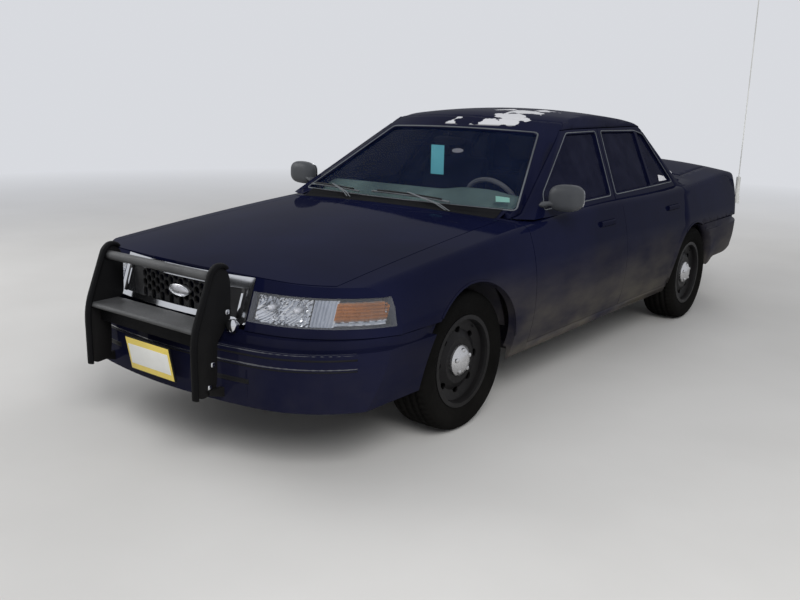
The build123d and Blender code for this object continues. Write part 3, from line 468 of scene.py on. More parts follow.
def cabin_x(behind, height):
    """Half width of the side glass surface, in millimetres."""
    ux, uy, radius = arc_through(*(raised(point, height) for point in CABIN_SIDE))
    return ux + math.sqrt(max(0, radius**2 - (behind - uy) ** 2))


def pane_place(pane, way, x, height):
    """Place of a screen's surface behind the front axle: its corner and middle give the bend."""
    (corner_x, corner), middle = (raised(point, height) for point in pane)
    ux, uy, radius = arc_through((-corner_x, corner), middle, (corner_x, corner))
    return uy + way * math.sqrt(max(0, radius**2 - x * x))


def screen_behind(x, height):
    """Place of the windscreen surface behind the front axle."""
    return pane_place(WINDSCREEN, -1, x, height)


def rear_screen_behind(x, height):
    """Place of the rear window's surface behind the front axle."""
    return pane_place(REAR_SCREEN, 1, x, height)


def on_screen(x, rise, front=True):
    """Point of a screen surface from its sloping plane: across, and up the slope."""
    base, way = WINDSCREEN_SLOPE if front else REAR_SCREEN_SLOPE
    surface, sign = (screen_behind, 1) if front else (rear_screen_behind, -1)
    low, high = -120.0, 160.0
    for _ in range(40):
        t = (low + high) / 2
        behind = base[0] + way[0] * rise - sign * way[1] * t
        height = base[1] + way[1] * rise + abs(way[0]) * t
        if sign * (surface(x, height) - behind) > 0:
            high = t
        else:
            low = t
    return (x / 1000, at(behind), height / 1000)


# Copies of CAD nodes with a softened roof rim and a rounder tail.
TAIL_START, TAIL_RUN = 3650, 600
TAIL_TOP, TAIL_TOP_RUN = 0.70, 0.32
TAIL_FOOT, TAIL_FOOT_RUN = 0.66, 0.30
TAIL_LEAN, TAIL_DROP, TAIL_TUCK, TAIL_NARROW = 0.105, 0.018, 0.035, 0.045
SILL_START, SILL_RUN, SILL_LIFT, TAIL_LIFT = 3300, 150, 0.045, 0.045
FINE_TAIL, FINE_TAIL_START = 0.06, 3200
SHARP_ANGLE, WELD = math.radians(42), 0.00005
ROOF_TOP, ROOF_RADIUS, ROOF_PEAK = 1512.0, 4400.0, 1850.0
WALL_SLOPES = (0.875, 0.55, 0.62)
RIM_LOWEST, RIM_REACH, RIM_SPARE, RIM_SKIN = 1.36, 0.085, 0.03, (-0.004, 0.006)
FINE_RIM, RIM_DEPTH, RIM_OTHER, RIM_BLEND = 0.028, 0.85, 0.25, 60
RIM_WAYS = (1.0, 0.6, 0.7)


def ease(value):
    """Smooth step from 0 to 1."""
    value = min(1.0, max(0.0, value))
    return value * value * (3 - 2 * value)


def tail_shape(v):
    """The tail's upper edge leans forward, and the rear bumper tucks in below."""
    behind = behind_axle(v.y)
    far = ease((behind - TAIL_START) / TAIL_RUN)
    high = ease((v.z - TAIL_TOP) / TAIL_TOP_RUN)
    low = ease((TAIL_FOOT - v.z) / TAIL_FOOT_RUN)
    below = far * low
    lift = (SILL_LIFT * ease((behind - SILL_START) / SILL_RUN) + TAIL_LIFT * far) * low
    return Vector((
        v.x * (1 - TAIL_NARROW * below),
        v.y - TAIL_LEAN * far * high - TAIL_TUCK * below,
        v.z - TAIL_DROP * far * far * high + lift,
    ))


def wall_gaps(v):
    """Distances inside the side, the windscreen's and the rear window's surface, in millimetres."""
    x, behind, z = abs(v.x) * 1000, behind_axle(v.y), v.z * 1000
    return cabin_x(behind, z) - x, behind - screen_behind(x, z), rear_screen_behind(x, z) - behind


def rim_depths(v, reach):
    """How far a point of the rim lies inside the roof's dome and the cabin's walls, or None off the rim."""
    if v.z < RIM_LOWEST:
        return None
    place = (abs(v.x) * 1000, behind_axle(v.y), v.z * 1000)
    dome = (ROOF_RADIUS - math.dist(place, (0, ROOF_PEAK, ROOF_TOP - ROOF_RADIUS))) / 1000
    wall = min(gap * slope for gap, slope in zip(wall_gaps(v), WALL_SLOPES)) / 1000
    on_skin = RIM_SKIN[0] < min(dome, wall) < RIM_SKIN[1]
    return (dome, wall) if on_skin and max(dome, wall) <= reach else None


def split_long(work, longest, rounds, chosen):
    """Splits the chosen edges until none is too long."""
    for _ in range(rounds):
        long = [e for e in work.edges if e.calc_length() > longest and chosen(e)]
        if not long:
            break
        bmesh.ops.subdivide_edges(work, edges=long, cuts=1)
        bmesh.ops.triangulate(work, faces=[f for f in work.faces if len(f.verts) > 3])


def refine_tail(work):
    """Splits long edges at the tail, so that its shape bends smoothly."""
    split_long(work, FINE_TAIL, 6, lambda e: max(v.co.y for v in e.verts) > at(FINE_TAIL_START))


def soften_rim(work):
    """Refines the tail, and rounds the edge between roof and cabin walls on a finer mesh."""
    refine_tail(work)
    split_long(work, FINE_RIM, 9, lambda e: any(rim_depths(v.co, RIM_REACH + RIM_SPARE) for v in e.verts))
    moves = []
    for vert in work.verts:
        depths = rim_depths(vert.co, RIM_REACH)
        if not depths:
            continue
        depth = (RIM_REACH - max(depths)) ** 2 / (4 * RIM_REACH) * RIM_DEPTH
        gaps = [gap * slope for gap, slope in zip(wall_gaps(vert.co), RIM_WAYS)]
        inward = Vector((0, 0, 0))
        for gap, way in zip(gaps, ((-math.copysign(1, vert.co.x), 0, 0), (0, 1, 0), (0, -1, 0))):
            inward += Vector(way) * max(0.0, 1 - (gap - min(gaps)) / RIM_BLEND)
        on_dome, on_wall = (1.0 if value < RIM_SKIN[1] else RIM_OTHER for value in depths)
        moves.append((vert, inward.normalized() * depth * on_wall + Vector((0, 0, -1)) * depth * on_dome))
    for vert, move in moves:
        vert.co += move


def reshaped(name, body, refine=refine_tail):
    """Copy of a CAD node with a finer mesh and the tail's shape, standing for the node."""
    mesh = nodes[name].data.copy()
    mesh.name = name + "_skin"
    work = bmesh.new()
    work.from_mesh(mesh)
    bmesh.ops.remove_doubles(work, verts=work.verts, dist=WELD)
    refine(work)
    for vert in work.verts:
        vert.co = tail_shape(vert.co)
    work.to_mesh(mesh)
    work.free()
    for polygon in mesh.polygons:
        polygon.use_smooth = True
    mesh.set_sharp_from_angle(angle=SHARP_ANGLE)
    thing = placed(name + "_skin", mesh)
    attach(thing, body)
    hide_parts(name)
    return thing


skins = {
    "body_shell": reshaped("body_shell", "root", soften_rim),
    "trunk_lid": reshaped("trunk_lid", "trunk_lid"),
    "tail_lamps": reshaped("tail_lamps", "root"),
    "bumper_rear": reshaped("bumper_rear", "root"),
}

# Surfaces of CAD nodes, for pieces that lie on them. Rays start outside the car.
trees = {}
BESIDE, ABOVE, AHEAD, ASTERN, AROUND = 1.3, 1.6, -4.0, 4.0, 3


def touch(name, origin, way):
    """First point of a node's surface along a ray, with its normal, or None twice."""
    if name not in trees:
        mesh = skins.get(name, nodes[name]).data
        trees[name] = BVHTree.FromPolygons([v.co for v in mesh.vertices], [p.vertices for p in mesh.polygons])
    return trees[name].ray_cast(Vector(origin), Vector(way).normalized())[:2]


def side_point(name, behind, height, side, proud):
    """Point just off a side surface, in metres, from millimetres in side view."""
    found = touch(name, (side * BESIDE, at(behind), height / 1000), (-side, 0, 0))[0]
    return None if found is None else found + Vector((side * proud, 0, 0))


def top_point(name, x, behind, proud):
    """Point just above an upper surface."""
    found = touch(name, (x / 1000, at(behind), ABOVE), (0, 0, -1))[0]
    return None if found is None else found + Vector((0, 0, proud))


def front_face(name, x, z):
    """Place along the car of the surface seen from the front."""
    found = touch(name, (x, AHEAD, z), (0, 1, 0))[0]
    return None if found is None else found.y


# Trim round the glass. A bead round a screen follows rows (half width, rise at the corners, rise in the middle).
grained("trim_grey", (0.10, 0.11, 0.12), 0.4, metallic=0.2, bump=0.0, specular=0.2)
grained("trim_black", (0.009, 0.009, 0.010), 0.5, bump=0.0, specular=0.12)
FRONT_WINDOW = [(812, 1006), (1655, 1014), (1806, 1374), (1402, 1372), (858, 1073)]
REAR_WINDOWS = [(1750, 1016), (2752, 1024), (2580, 1340), (2452, 1366), (1905, 1374)]
WINDOW_GROW, WINDOW_CORNER, WINDOW_STEP, WINDOW_BEAD = 9, 23, 40, 0.0032
SCREEN_GROW, SCREEN_CORNER, SCREEN_STEP = 8, 30, 60
WINDOW_OUT, SCREEN_OUT, REAR_SCREEN_OUT = 0.55, (0, -0.55, 0.83), (0, 0.55, 0.83)


def window_bead(name, outline, body, side):
    """Bead round a side window, on the door's surface."""
    line = dense(rounded(grown(outline, WINDOW_GROW), WINDOW_CORNER), WINDOW_STEP)
    points = [Vector((side * cabin_x(b, z) / 1000, at(b), z / 1000)) for b, z in line]
    normals = [(side, 0, WINDOW_OUT)] * len(points)
    tube(name, points, WINDOW_BEAD, "trim_grey", body, closed=True, flat=0.6, normals=normals)


def screen_bead(name, low, high, front, radius, material):
    """Bead round the windscreen or the rear window."""
    edge = []
    for (half, corner, middle), way in ((low, -1), (high, 1)):
        for k in range(-8, 9):
            share = -way * k / 8
            edge.append(((half + SCREEN_GROW) * share, middle + way * SCREEN_GROW + (corner - middle) * share**2))
    points = [on_screen(x, rise, front) for x, rise in dense(rounded(edge, SCREEN_CORNER, 3), SCREEN_STEP)]
    normals = [SCREEN_OUT if front else REAR_SCREEN_OUT] * len(points)
    tube(name, points, radius, material, closed=True, flat=0.55, normals=normals)


for side, hand in SIDES:
    window_bead(f"front_glass_trim_{hand}", FRONT_WINDOW, f"door_front_{hand}", side)
    window_bead(f"rear_glass_trim_{hand}", REAR_WINDOWS, f"door_rear_{hand}", side)
screen_bead("windscreen_trim", (762, 128, 42), (536, 826, 752), True, 0.0055, "trim_grey")
screen_bead("rear_window_trim", (665, 150, 45), (500, 650, 625), False, 0.008, "trim_black")

# Tyres with grooves, blocks and raised sidewall rings: (across, radius) in millimetres.
SIDEWALL = [(-98, 214.2), (-99, 228), (-112, 246), (-117.3, 268), (-117.4, 300), (-113, 318), (-104, 331), (-92, 339)]
SHOULDER, RIB_RADIUS, GROOVE_RADIUS = (78, 342.5), 344.2, 336.5
GROOVES, GROOVE_TOP, GROOVE_BOTTOM = (-62, -22, 22, 62), 5.5, 4
GROUND, RIB_EDGE, SHOULDER_START = 338, 341, 66
SLOT_DEPTH, CUT_DEPTH, TREAD_SEGMENTS = -6.0, -3.0, 240
VALVE_TURN, VALVE_SPOT, VALVE_LENGTH, VALVE_LEAN, VALVE_RADIUS = 0.9, (0.052, 0.190), 0.026, 0.006, 0.0045

crown = []
for place in GROOVES:
    crown += [(place - GROOVE_TOP, RIB_RADIUS), (place - GROOVE_BOTTOM, GROOVE_RADIUS)]
    crown += [(place + GROOVE_BOTTOM, GROOVE_RADIUS), (place + GROOVE_TOP, RIB_RADIUS)]
half = SIDEWALL + [(-SHOULDER[0], SHOULDER[1])]
tyre_section = half + crown + [SHOULDER] + [(-x, r) for x, r in reversed(SIDEWALL)]


def tread(i, along, radius):
    """Slots across the shoulders and small cuts in the middle ribs."""
    if radius < GROUND:
        return 0
    if abs(along) > SHOULDER_START:
        return SLOT_DEPTH if i % 4 == 0 else 0
    return CUT_DEPTH if radius > RIB_EDGE and i % 4 == 2 else 0


for place, hand, side in WHEELS:
    node, body = f"tyre_{place}_{hand}", f"wheel_{place}_{hand}"
    low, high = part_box(node)
    centre = (low + high) / 2
    turned(f"tread_{place}_{hand}", tyre_section, centre, "tyre", body, TREAD_SEGMENTS, tread, stands_for=node)
    across, up = math.cos(VALVE_TURN), math.sin(VALVE_TURN)
    spot = centre + Vector((side * VALVE_SPOT[0], VALVE_SPOT[1] * across, VALVE_SPOT[1] * up))
    tip = spot + Vector((side * VALVE_LENGTH, -VALVE_LEAN * across, -VALVE_LEAN * up))
    tube(f"valve_{place}_{hand}", [spot, tip], VALVE_RADIUS, "trim_black", body)

# Lamps: a reflector with two faceted bowls, upright flutes and a ribbed amber end, and a bulb in each bowl.
grained("amber", (0.22, 0.07, 0.004), 0.3, spread=0.45, scale=90, bump=0.5, coat=0.4)
grained("bright_reflector", (0.62, 0.64, 0.68), 0.10, metallic=1.0, spread=0.12, scale=70, bump=0.3)
grained("bulb_grey", (0.55, 0.56, 0.6), 0.3, metallic=0.4, bump=0.0)
grained("lamp_dark", (0.03, 0.03, 0.033), 0.5, bump=0.0)
LAMP_X, LAMP_Z, LAMP_MIDDLE = (0.456, 0.938), (0.657, 0.765), 0.71
LAMP_COLUMNS, LAMP_ROWS = 72, 16
BOWLS, BOWL_SQUASH, BOWL_DEPTH = ((0.520, 0.058), (0.640, 0.054)), 1.1, 0.036
SIGNAL_START, AMBER_START, AMBER_Z = 0.715, 0.800, (0.684, 0.752)
DARK_STRIP, DARK_END = 0.004, 0.462
BULB = [(0, 0.5), (0, 9), (14, 13), (40, 13), (40, 0.5)]
BULB_DEPTH = 0.018


def lamp_depth(i, k, x, z):
    """Depth of the reflector behind the lens: two faceted bowls, upright flutes, then cross ribs."""
    if x > AMBER_START:
        return 0.020 + 0.003 * math.cos(k * math.pi) + 0.002 * math.sin(i * 1.7)
    if x > SIGNAL_START:
        return 0.024 + 0.006 * math.cos(i * math.pi)
    for centre, reach in BOWLS:
        away = math.hypot(x - centre, (z - LAMP_MIDDLE) * BOWL_SQUASH)
        if away < reach:
            return 0.026 + BOWL_DEPTH * (1 - (away / reach) ** 2) + 0.0022 * math.sin(i * 2.3 + k * 4.1)
    return 0.026 + 0.004 * math.sin(i * 5.1 + k * 2.7)


def lamp_kind(x, z):
    """Which finish a cell of the reflector has: bright, amber or dark."""
    if x > AMBER_START and AMBER_Z[0] < z < AMBER_Z[1]:
        return 1
    return 2 if abs(x - SIGNAL_START) < DARK_STRIP or x < DARK_END else 0


def lamp_cell(i, k):
    """Across and height of a place on the lamp, counted in cells."""
    across = LAMP_X[0] + (LAMP_X[1] - LAMP_X[0]) * i / LAMP_COLUMNS
    return across, LAMP_Z[0] + (LAMP_Z[1] - LAMP_Z[0]) * k / LAMP_ROWS


for side, hand in SIDES:
    verts, kinds = [], []
    for i in range(LAMP_COLUMNS + 1):
        for k in range(LAMP_ROWS + 1):
            x, z = lamp_cell(i, k)
            spot, normal = touch("headlamps", (side * x, AHEAD, z), (0, 1, 0))
            if spot is None:
                spot, normal = touch("headlamps", (side * x, AHEAD, LAMP_MIDDLE), (0, 1, 0))
            if normal.y > 0:
                normal = -normal
            verts.append(spot - normal * lamp_depth(i, k, x, z))
            if i < LAMP_COLUMNS and k < LAMP_ROWS:
                kinds.append(lamp_kind(*lamp_cell(i + 0.5, k + 0.5)))
    faces = quads(LAMP_COLUMNS + 1, LAMP_ROWS + 1, round_rings=False)
    reflector = piece(f"lamp_reflector_{hand}", verts, faces, "bright_reflector", smooth=False)
    reflector.data.materials.append(finishes["amber"])
    reflector.data.materials.append(finishes["lamp_dark"])
    for polygon, kind in zip(reflector.data.polygons, kinds):
        polygon.material_index = kind
    for x, reach in BOWLS:
        spot = (side * x, front_face("headlamps", side * x, LAMP_MIDDLE) + BULB_DEPTH, LAMP_MIDDLE)
        turned(f"bulb_{hand}_{round(x * 1000)}", BULB, spot, "bulb_grey", segments=24, axis="y", closed=False)

# Blank oval on the grille: a ring, and a face of shrinking rings (share of the size, step back).
grained("emblem_grey", (0.5, 0.5, 0.52), 0.3, metallic=0.8, bump=0.0)
OVAL_Y, OVAL_Z, OVAL_WIDE, OVAL_HIGH, OVAL_BEAD = -2.512, 0.714, 0.066, 0.023, 0.004
OVAL_STEPS = ((1, 0.02), (1, 0.0), (0.9, -0.004), (0.5, -0.006), (0.05, -0.0065))
ring = [(OVAL_WIDE * math.cos(a), OVAL_Y, OVAL_Z + OVAL_HIGH * math.sin(a)) for a in angles(40)]
tube("emblem_ring", ring, OVAL_BEAD, "chrome", closed=True, normals=[(0, -1, 0)] * 40)
rings = [[(x * f, OVAL_Y + d, OVAL_Z + (z - OVAL_Z) * f) for x, y, z in ring] for f, d in OVAL_STEPS]
lofted("emblem_face", rings, "emblem_grey")

# Dark strips between the grille's mesh and its bright frame: painted dark reflection over the frame's inner edges,
# which makes the bright frame narrower.
REFLECTION_STRIP_X, REFLECTION_STRIP_SPARE_X, REFLECTION_STRIP_Z = (0.383, 0.410), 0.400, (0.655, 0.700, 0.740, 0.778)
REFLECTION_STRIP_PROUD, REFLECTION_STRIP_THICK = 0.0015, 0.006
for side, hand in SIDES:
    rings = []
    for x in REFLECTION_STRIP_X:
        face = [
            front_face("grille_frame", side * x, z) or front_face("grille_frame", side * REFLECTION_STRIP_SPARE_X, z)
            for z in REFLECTION_STRIP_Z
        ]
        spots = [Vector((side * x, y - REFLECTION_STRIP_PROUD, z)) for y, z in zip(face, REFLECTION_STRIP_Z)]
        rings.append(spots + [spot + Vector((0, REFLECTION_STRIP_THICK, 0)) for spot in reversed(spots)])
    lofted(f"grille_dark_reflection_{hand}", rings, "trim_black")

# Front plate, blank, on its bracket under the push bumper's shelf: half width, places behind, heights and edge.
grained("plate_yellow", (0.80, 0.62, 0.12), 0.45, spread=0.1, bump=0.0)
grained("plate_white", (0.78, 0.78, 0.74), 0.45, spread=0.06, bump=0.0)
PLATE_SLOPE, PLATE_MIDDLE = 0.18, 0.43


def plate_lean(x, y, z):
    """The plate leans forward at its top."""
    return (x, y - PLATE_SLOPE * (z - PLATE_MIDDLE), z)


for name, half, front, rear, low, high, material, bevel in (
    ("front_plate", 0.152, -1130, -1127, 0.357, 0.509, "plate_yellow", 0.0015),
    ("front_plate_field", 0.140, -1131, -1129, 0.385, 0.480, "plate_white", 0.0008),
    ("front_plate_frame", 0.158, -1127, -1119, 0.352, 0.514, "trim_black", 0.003),
):
    box_piece(name, (-half, at(front), low), (half, at(rear), high), material, bevel=bevel, shear=plate_lean)

# Wipers at rest on the windscreen's base.
grained("wiper_grey", (0.14, 0.15, 0.16), 0.5, bump=0.0, specular=0.1)
BLADE_OFF, SPINE_OFF = Vector((0, -0.010, 0.016)), Vector((0, -0.006, 0.010))
PIVOT_OFF, ARM_OFF, ARM_BEND = Vector((0, -0.030, 0.004)), Vector((0, -0.010, 0.018)), Vector((0, 0, 0.012))
ARM_HALF, ARM_END, BLADE_BEAD, SPINE_BEAD, ARM_BEAD = 0.011, 0.4, 0.006, 0.004, 0.0045


def wiper(name, pivot, start, end):
    """Doubled arm and blade from a pivot at the cowl: places are across, and up the windscreen's slope."""
    (x0, r0), (x1, r1) = start, end
    blade = [Vector(on_screen(x0 + (x1 - x0) * t / 12, r0 + (r1 - r0) * t / 12)) + BLADE_OFF for t in range(13)]
    tube(f"{name}_blade", blade, BLADE_BEAD, "wiper_grey", normals=[SCREEN_OUT] * 13)
    spine = [point + SPINE_OFF for point in blade[1:-1]]
    tube(f"{name}_spine", spine, SPINE_BEAD, "black_plastic", normals=[SCREEN_OUT] * len(spine))
    root = Vector(on_screen(*pivot)) + PIVOT_OFF
    middle = blade[6] + ARM_OFF
    for k, shift in enumerate((Vector((-ARM_HALF, 0, 0)), Vector((ARM_HALF, 0, 0)))):
        bend = root + (middle - root) * 0.25 + ARM_BEND
        line = [root + shift, bend + shift, middle + shift * ARM_END]
        tube(f"{name}_arm_{k}", line, ARM_BEAD, "wiper_grey", flat=0.6)


wiper("wiper_driver", (430, 8), (400, 55), (-150, 60))
wiper("wiper_passenger", (-290, 20), (-250, 50), (-720, 130))

# Door mirrors: housing, glass and an arm from the door.
# The arm's sections are (share of the way, half depth, half height).
MIRROR_X, MIRROR_Z, MIRROR_HALF, MIRROR_SHEAR = 0.972, 1.067, (0.098, 0.050, 0.072), (0.02, 0.05)
MIRROR_GLASS_BACK, MIRROR_GLASS_HALF = 0.0495, (0.082, 0.004, 0.057)
ARM_FOOT, ARM_TIP = (800, 1022), (0.920, 815, 1.040)
ARM_SECTIONS = ((0.0, 0.042, 0.020), (0.25, 0.030, 0.016), (0.6, 0.026, 0.015), (1.0, 0.030, 0.018))
for side, hand in SIDES:
    node, body = f"mirror_{hand}", f"door_front_{hand}"
    low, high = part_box(node)
    centre = (side * MIRROR_X, (low.y + high.y) / 2, MIRROR_Z)
    shear = tuple(side * s for s in MIRROR_SHEAR)
    rounded_block(
        f"mirror_housing_{hand}", centre, MIRROR_HALF, 2.9, "grey_plastic", body, shear, stands_for=node
    )
    glass = (centre[0], centre[1] + MIRROR_GLASS_BACK, centre[2])
    rounded_block(f"mirror_glass_{hand}", glass, MIRROR_GLASS_HALF, 4, "chrome", body)
    foot = Vector((side * cabin_x(*ARM_FOOT) / 1000, at(ARM_FOOT[0]), ARM_FOOT[1] / 1000))
    tip = Vector((side * ARM_TIP[0], at(ARM_TIP[1]), ARM_TIP[2]))
    rings = []
    for t, w, h in ARM_SECTIONS:
        rings.append([foot.lerp(tip, t) + Vector((0, w * math.cos(a), h * math.sin(a))) for a in angles(16)])
    lofted(f"mirror_arm_{hand}", rings, "grey_plastic", body)

# Hanging tag, which glows weakly to show behind the dark glass, and the inner mirror.
TAG_GLOW, TAG_STRENGTH = (0.2, 0.75, 1.0, 1), 0.3
tag_blue = grained("tag_blue", (0.22, 0.85, 1.0), 0.5, spread=0.35, scale=90, bump=0.0)
tag_shader = next(n for n in tag_blue.node_tree.nodes if n.type == "BSDF_PRINCIPLED")
tag_shader.inputs["Emission Color"].default_value = TAG_GLOW
tag_shader.inputs["Emission Strength"].default_value = TAG_STRENGTH
box_piece("hanging_tag", (-0.110, at(1085), 1.105), (-0.012, at(1088), 1.285), "tag_blue", bevel=0.001)
rounded_block("inner_mirror", (0.0, at(1120), 1.312), (0.11, 0.014, 0.026), 4, "trim_black")
tube("inner_mirror_stem", [(0.0, at(1120), 1.32), (0.0, at(1128), 1.36)], 0.008, "trim_black")

# Padded seats: crowned blocks mapped into eight corners, with sewn channels.
PAD_POWER, PAD_FILL, HEADREST_FILL, CHANNEL_WIDTH, PAD_SINK, FACE_SHARE = 7, 0.8, 0.9, 0.035, 0.55, 0.6


def padded_block(name, corners, stands_for, crown=0.10, channels=(), steps=22):
    """Cushion inside eight corners (x, behind, z in mm).

    The low face comes first, each face front left, front right, rear right, rear left.
    Channels are (face axis, line axis, place, depth): grooves across the face that looks along +face axis.
    """
    corner = [Vector((x / 1000, at(b), z / 1000)) for x, b, z in corners]

    def mapped(q):
        u, v, w = ((c + 1) / 2 for c in q)
        low = (corner[0] * (1 - u) + corner[1] * u) * (1 - v) + (corner[3] * (1 - u) + corner[2] * u) * v
        high = (corner[4] * (1 - u) + corner[5] * u) * (1 - v) + (corner[7] * (1 - u) + corner[6] * u) * v
        return low * (1 - w) + high * w

    work = bmesh.new()
    bmesh.ops.create_cube(work, size=2.0)
    bmesh.ops.subdivide_edges(work, edges=work.edges[:], cuts=steps, use_grid_fill=True)
    for vert in work.verts:
        r = sum(abs(c) ** PAD_POWER for c in vert.co) ** (1 / PAD_POWER)
        q = [c / r for c in vert.co]
        shift = [0.0, 0.0, 0.0]
        for axis in range(3):
            u, v = (q[k] for k in range(3) if k != axis)
            if abs(q[axis]) > FACE_SHARE:
                shift[axis] += math.copysign(crown * ((1 - u * u) * (1 - v * v) - PAD_SINK), q[axis])
        for face_axis, line_axis, place, depth in channels:
            if q[face_axis] > FACE_SHARE:
                shift[face_axis] -= depth * math.exp(-(((q[line_axis] - place) / CHANNEL_WIDTH) ** 2))
        vert.co = mapped([min(1.0, max(-1.0, a + b)) for a, b in zip(q, shift)])
    mesh = bpy.data.meshes.new(name)
    work.to_mesh(mesh)
    work.free()
    for polygon in mesh.polygons:
        polygon.use_smooth = True
    thing = placed(name, mesh)
    mesh.materials.append(finishes["seat_weave"])
    soft = thing.modifiers.new("soft", "SUBSURF")
    soft.levels = soft.render_levels = 1
    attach(thing, "root")
    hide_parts(stands_for)


def seat_material():
    """Dark woven cloth: fine crossed weave and faded broad patches."""
    made, shader, node, link, place = new_material("seat_weave")
    broad = noise(node, place, 5.0, 5.0)
    tone = mixed(node, ramp(node, broad, 0.3, 0.7), (0.020, 0.023, 0.028), (0.036, 0.040, 0.046))
    wave = {"Vector": place, "Scale": 160.0, "Distortion": 1.5}
    waves = [node("ShaderNodeTexWave", wave, bands_direction=way).outputs[1] for way in ("X", "Z")]
    weave = joined(node, "MULTIPLY", *waves)
    tone = mixed(node, ramp(node, weave, 0.2, 0.8, 0.0, 0.3), tone, (0.06, 0.065, 0.072))
    link(tone, shader.inputs["Base Color"])
    shader.inputs["Roughness"].default_value = 0.88
    shader.inputs["Specular IOR Level"].default_value = 0.1
    relief = node("ShaderNodeBump", {"Height": weave, "Strength": 0.4, "Distance": 0.001})
    link(relief.outputs[0], shader.inputs["Normal"])
    finishes["seat_weave"] = made


def seat_corners(side, inner, outer, spans):
    """Eight corners of a block between two widths, from (behind, height) at the front and rear of each face."""
    a, b = sorted((side * inner, side * outer))
    found = []
    for (front, front_z), (rear, rear_z) in spans:
        found += [(a, front, front_z), (b, front, front_z), (b, rear, rear_z), (a, rear, rear_z)]
    return found


CUSHION_X, CUSHION = (130, 680), (((1125, 335), (1590, 335)), ((1125, 600), (1590, 565)))
CUSHION_CHANNELS = ((2, 0, -0.55, 0.07), (2, 0, 0.55, 0.07), (2, 1, -0.35, 0.05), (2, 1, 0.1, 0.05), (2, 1, 0.55, 0.05))
BACK_X, BACK = (150, 630), (((1555, 545), (1690, 545)), ((1755, 1165), (1850, 1165)))
HEADREST_X, HEADREST_PLACE, HEADREST_HALF = 390, (1828, 1.222), (0.090, 0.040, 0.066)
POST_X, POST_PLACE, POST_WAY = 45, (1808, 1.150), Vector((0, 0.012, 0.05))
BENCH_X, BENCH = 668, (((2065, 437), (2432, 437)), ((2065, 615), (2432, 595)))
BENCH_CHANNELS = ((2, 0, -0.34, 0.08), (2, 0, 0.34, 0.08), (2, 1, 0.0, 0.05))
BENCH_BACK = (((2428, 565), (2545, 565)), ((2562, 990), (2632, 978)))
BASE_X, BASE_BEHIND, BASE_Z = (0.158, 0.664), (2070, 2430), (0.334, 0.445)

seat_material()
for side, hand in SIDES:
    cushion = seat_corners(side, *CUSHION_X, CUSHION)
    padded_block(f"seat_cushion_{hand}", cushion, "front_seats", channels=CUSHION_CHANNELS)
    padded_block(f"seat_back_{hand}", seat_corners(side, *BACK_X, BACK), "front_seats", crown=0.14)
    spot = (side * HEADREST_X / 1000, at(HEADREST_PLACE[0]), HEADREST_PLACE[1])
    headrest = rounded_block(f"headrest_{hand}", spot, HEADREST_HALF, 3.2, "seat_weave")
    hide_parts("front_seats")
    for post, end in ((-POST_X, "inner"), (POST_X, "outer")):
        foot = Vector((side * (HEADREST_X + post) / 1000, at(POST_PLACE[0]), POST_PLACE[1]))
        tube(f"headrest_post_{hand}_{end}", [foot, foot + POST_WAY], 0.006, "chrome")
bench = seat_corners(1, -BENCH_X, BENCH_X, BENCH)
padded_block("rear_cushion", bench, "rear_seat", crown=0.12, channels=BENCH_CHANNELS, steps=30)
padded_block("rear_back", seat_corners(1, -BENCH_X, BENCH_X, BENCH_BACK), "rear_seat", crown=0.12, steps=30)
grained("carpet", (0.03, 0.03, 0.032), 0.95, scale=700, bump=0.6)
for side, hand in SIDES:
    x0, x1 = sorted(side * x for x in BASE_X)
    low, high = ((x, at(b), z) for x, b, z in zip((x0, x1), BASE_BEHIND, BASE_Z))
    box_piece(f"rear_seat_base_{hand}", low, high, "carpet", bevel=0.012, stands_for="rear_seat")

# Dash with an instrument hood, a shelf up to the windscreen, and vents.
DASH_HALF, DASH_STEPS, DASH_FOOT = 738, 40, 704
DASH_END, DASH_INSET = 40, 10
CLUSTER_X, CLUSTER_REACH, CLUSTER_RISE = 390, 190, 26
SHELF_HALF, SHELF_STEPS, SHELF_ROWS, SHELF_END, SHELF_GAP = 690, 48, 7, 690, 6
SHELF_Z, SHELF_LOWEST, SHELF_FALL, SHELF_THICK = 0.974, 0.972, 0.0005, 0.003
SCREEN_FOOT, SHELF_CEILING, SHELF_PROUD = 1030, 1.02, 0.004
VENT_X, VENT_SHIFT, VENT_HALF, VENT_BEHIND, VENT_Z, VENT_STEP = (-640, -120, 120, 640), 700, 45, 887, 0.872, 0.012

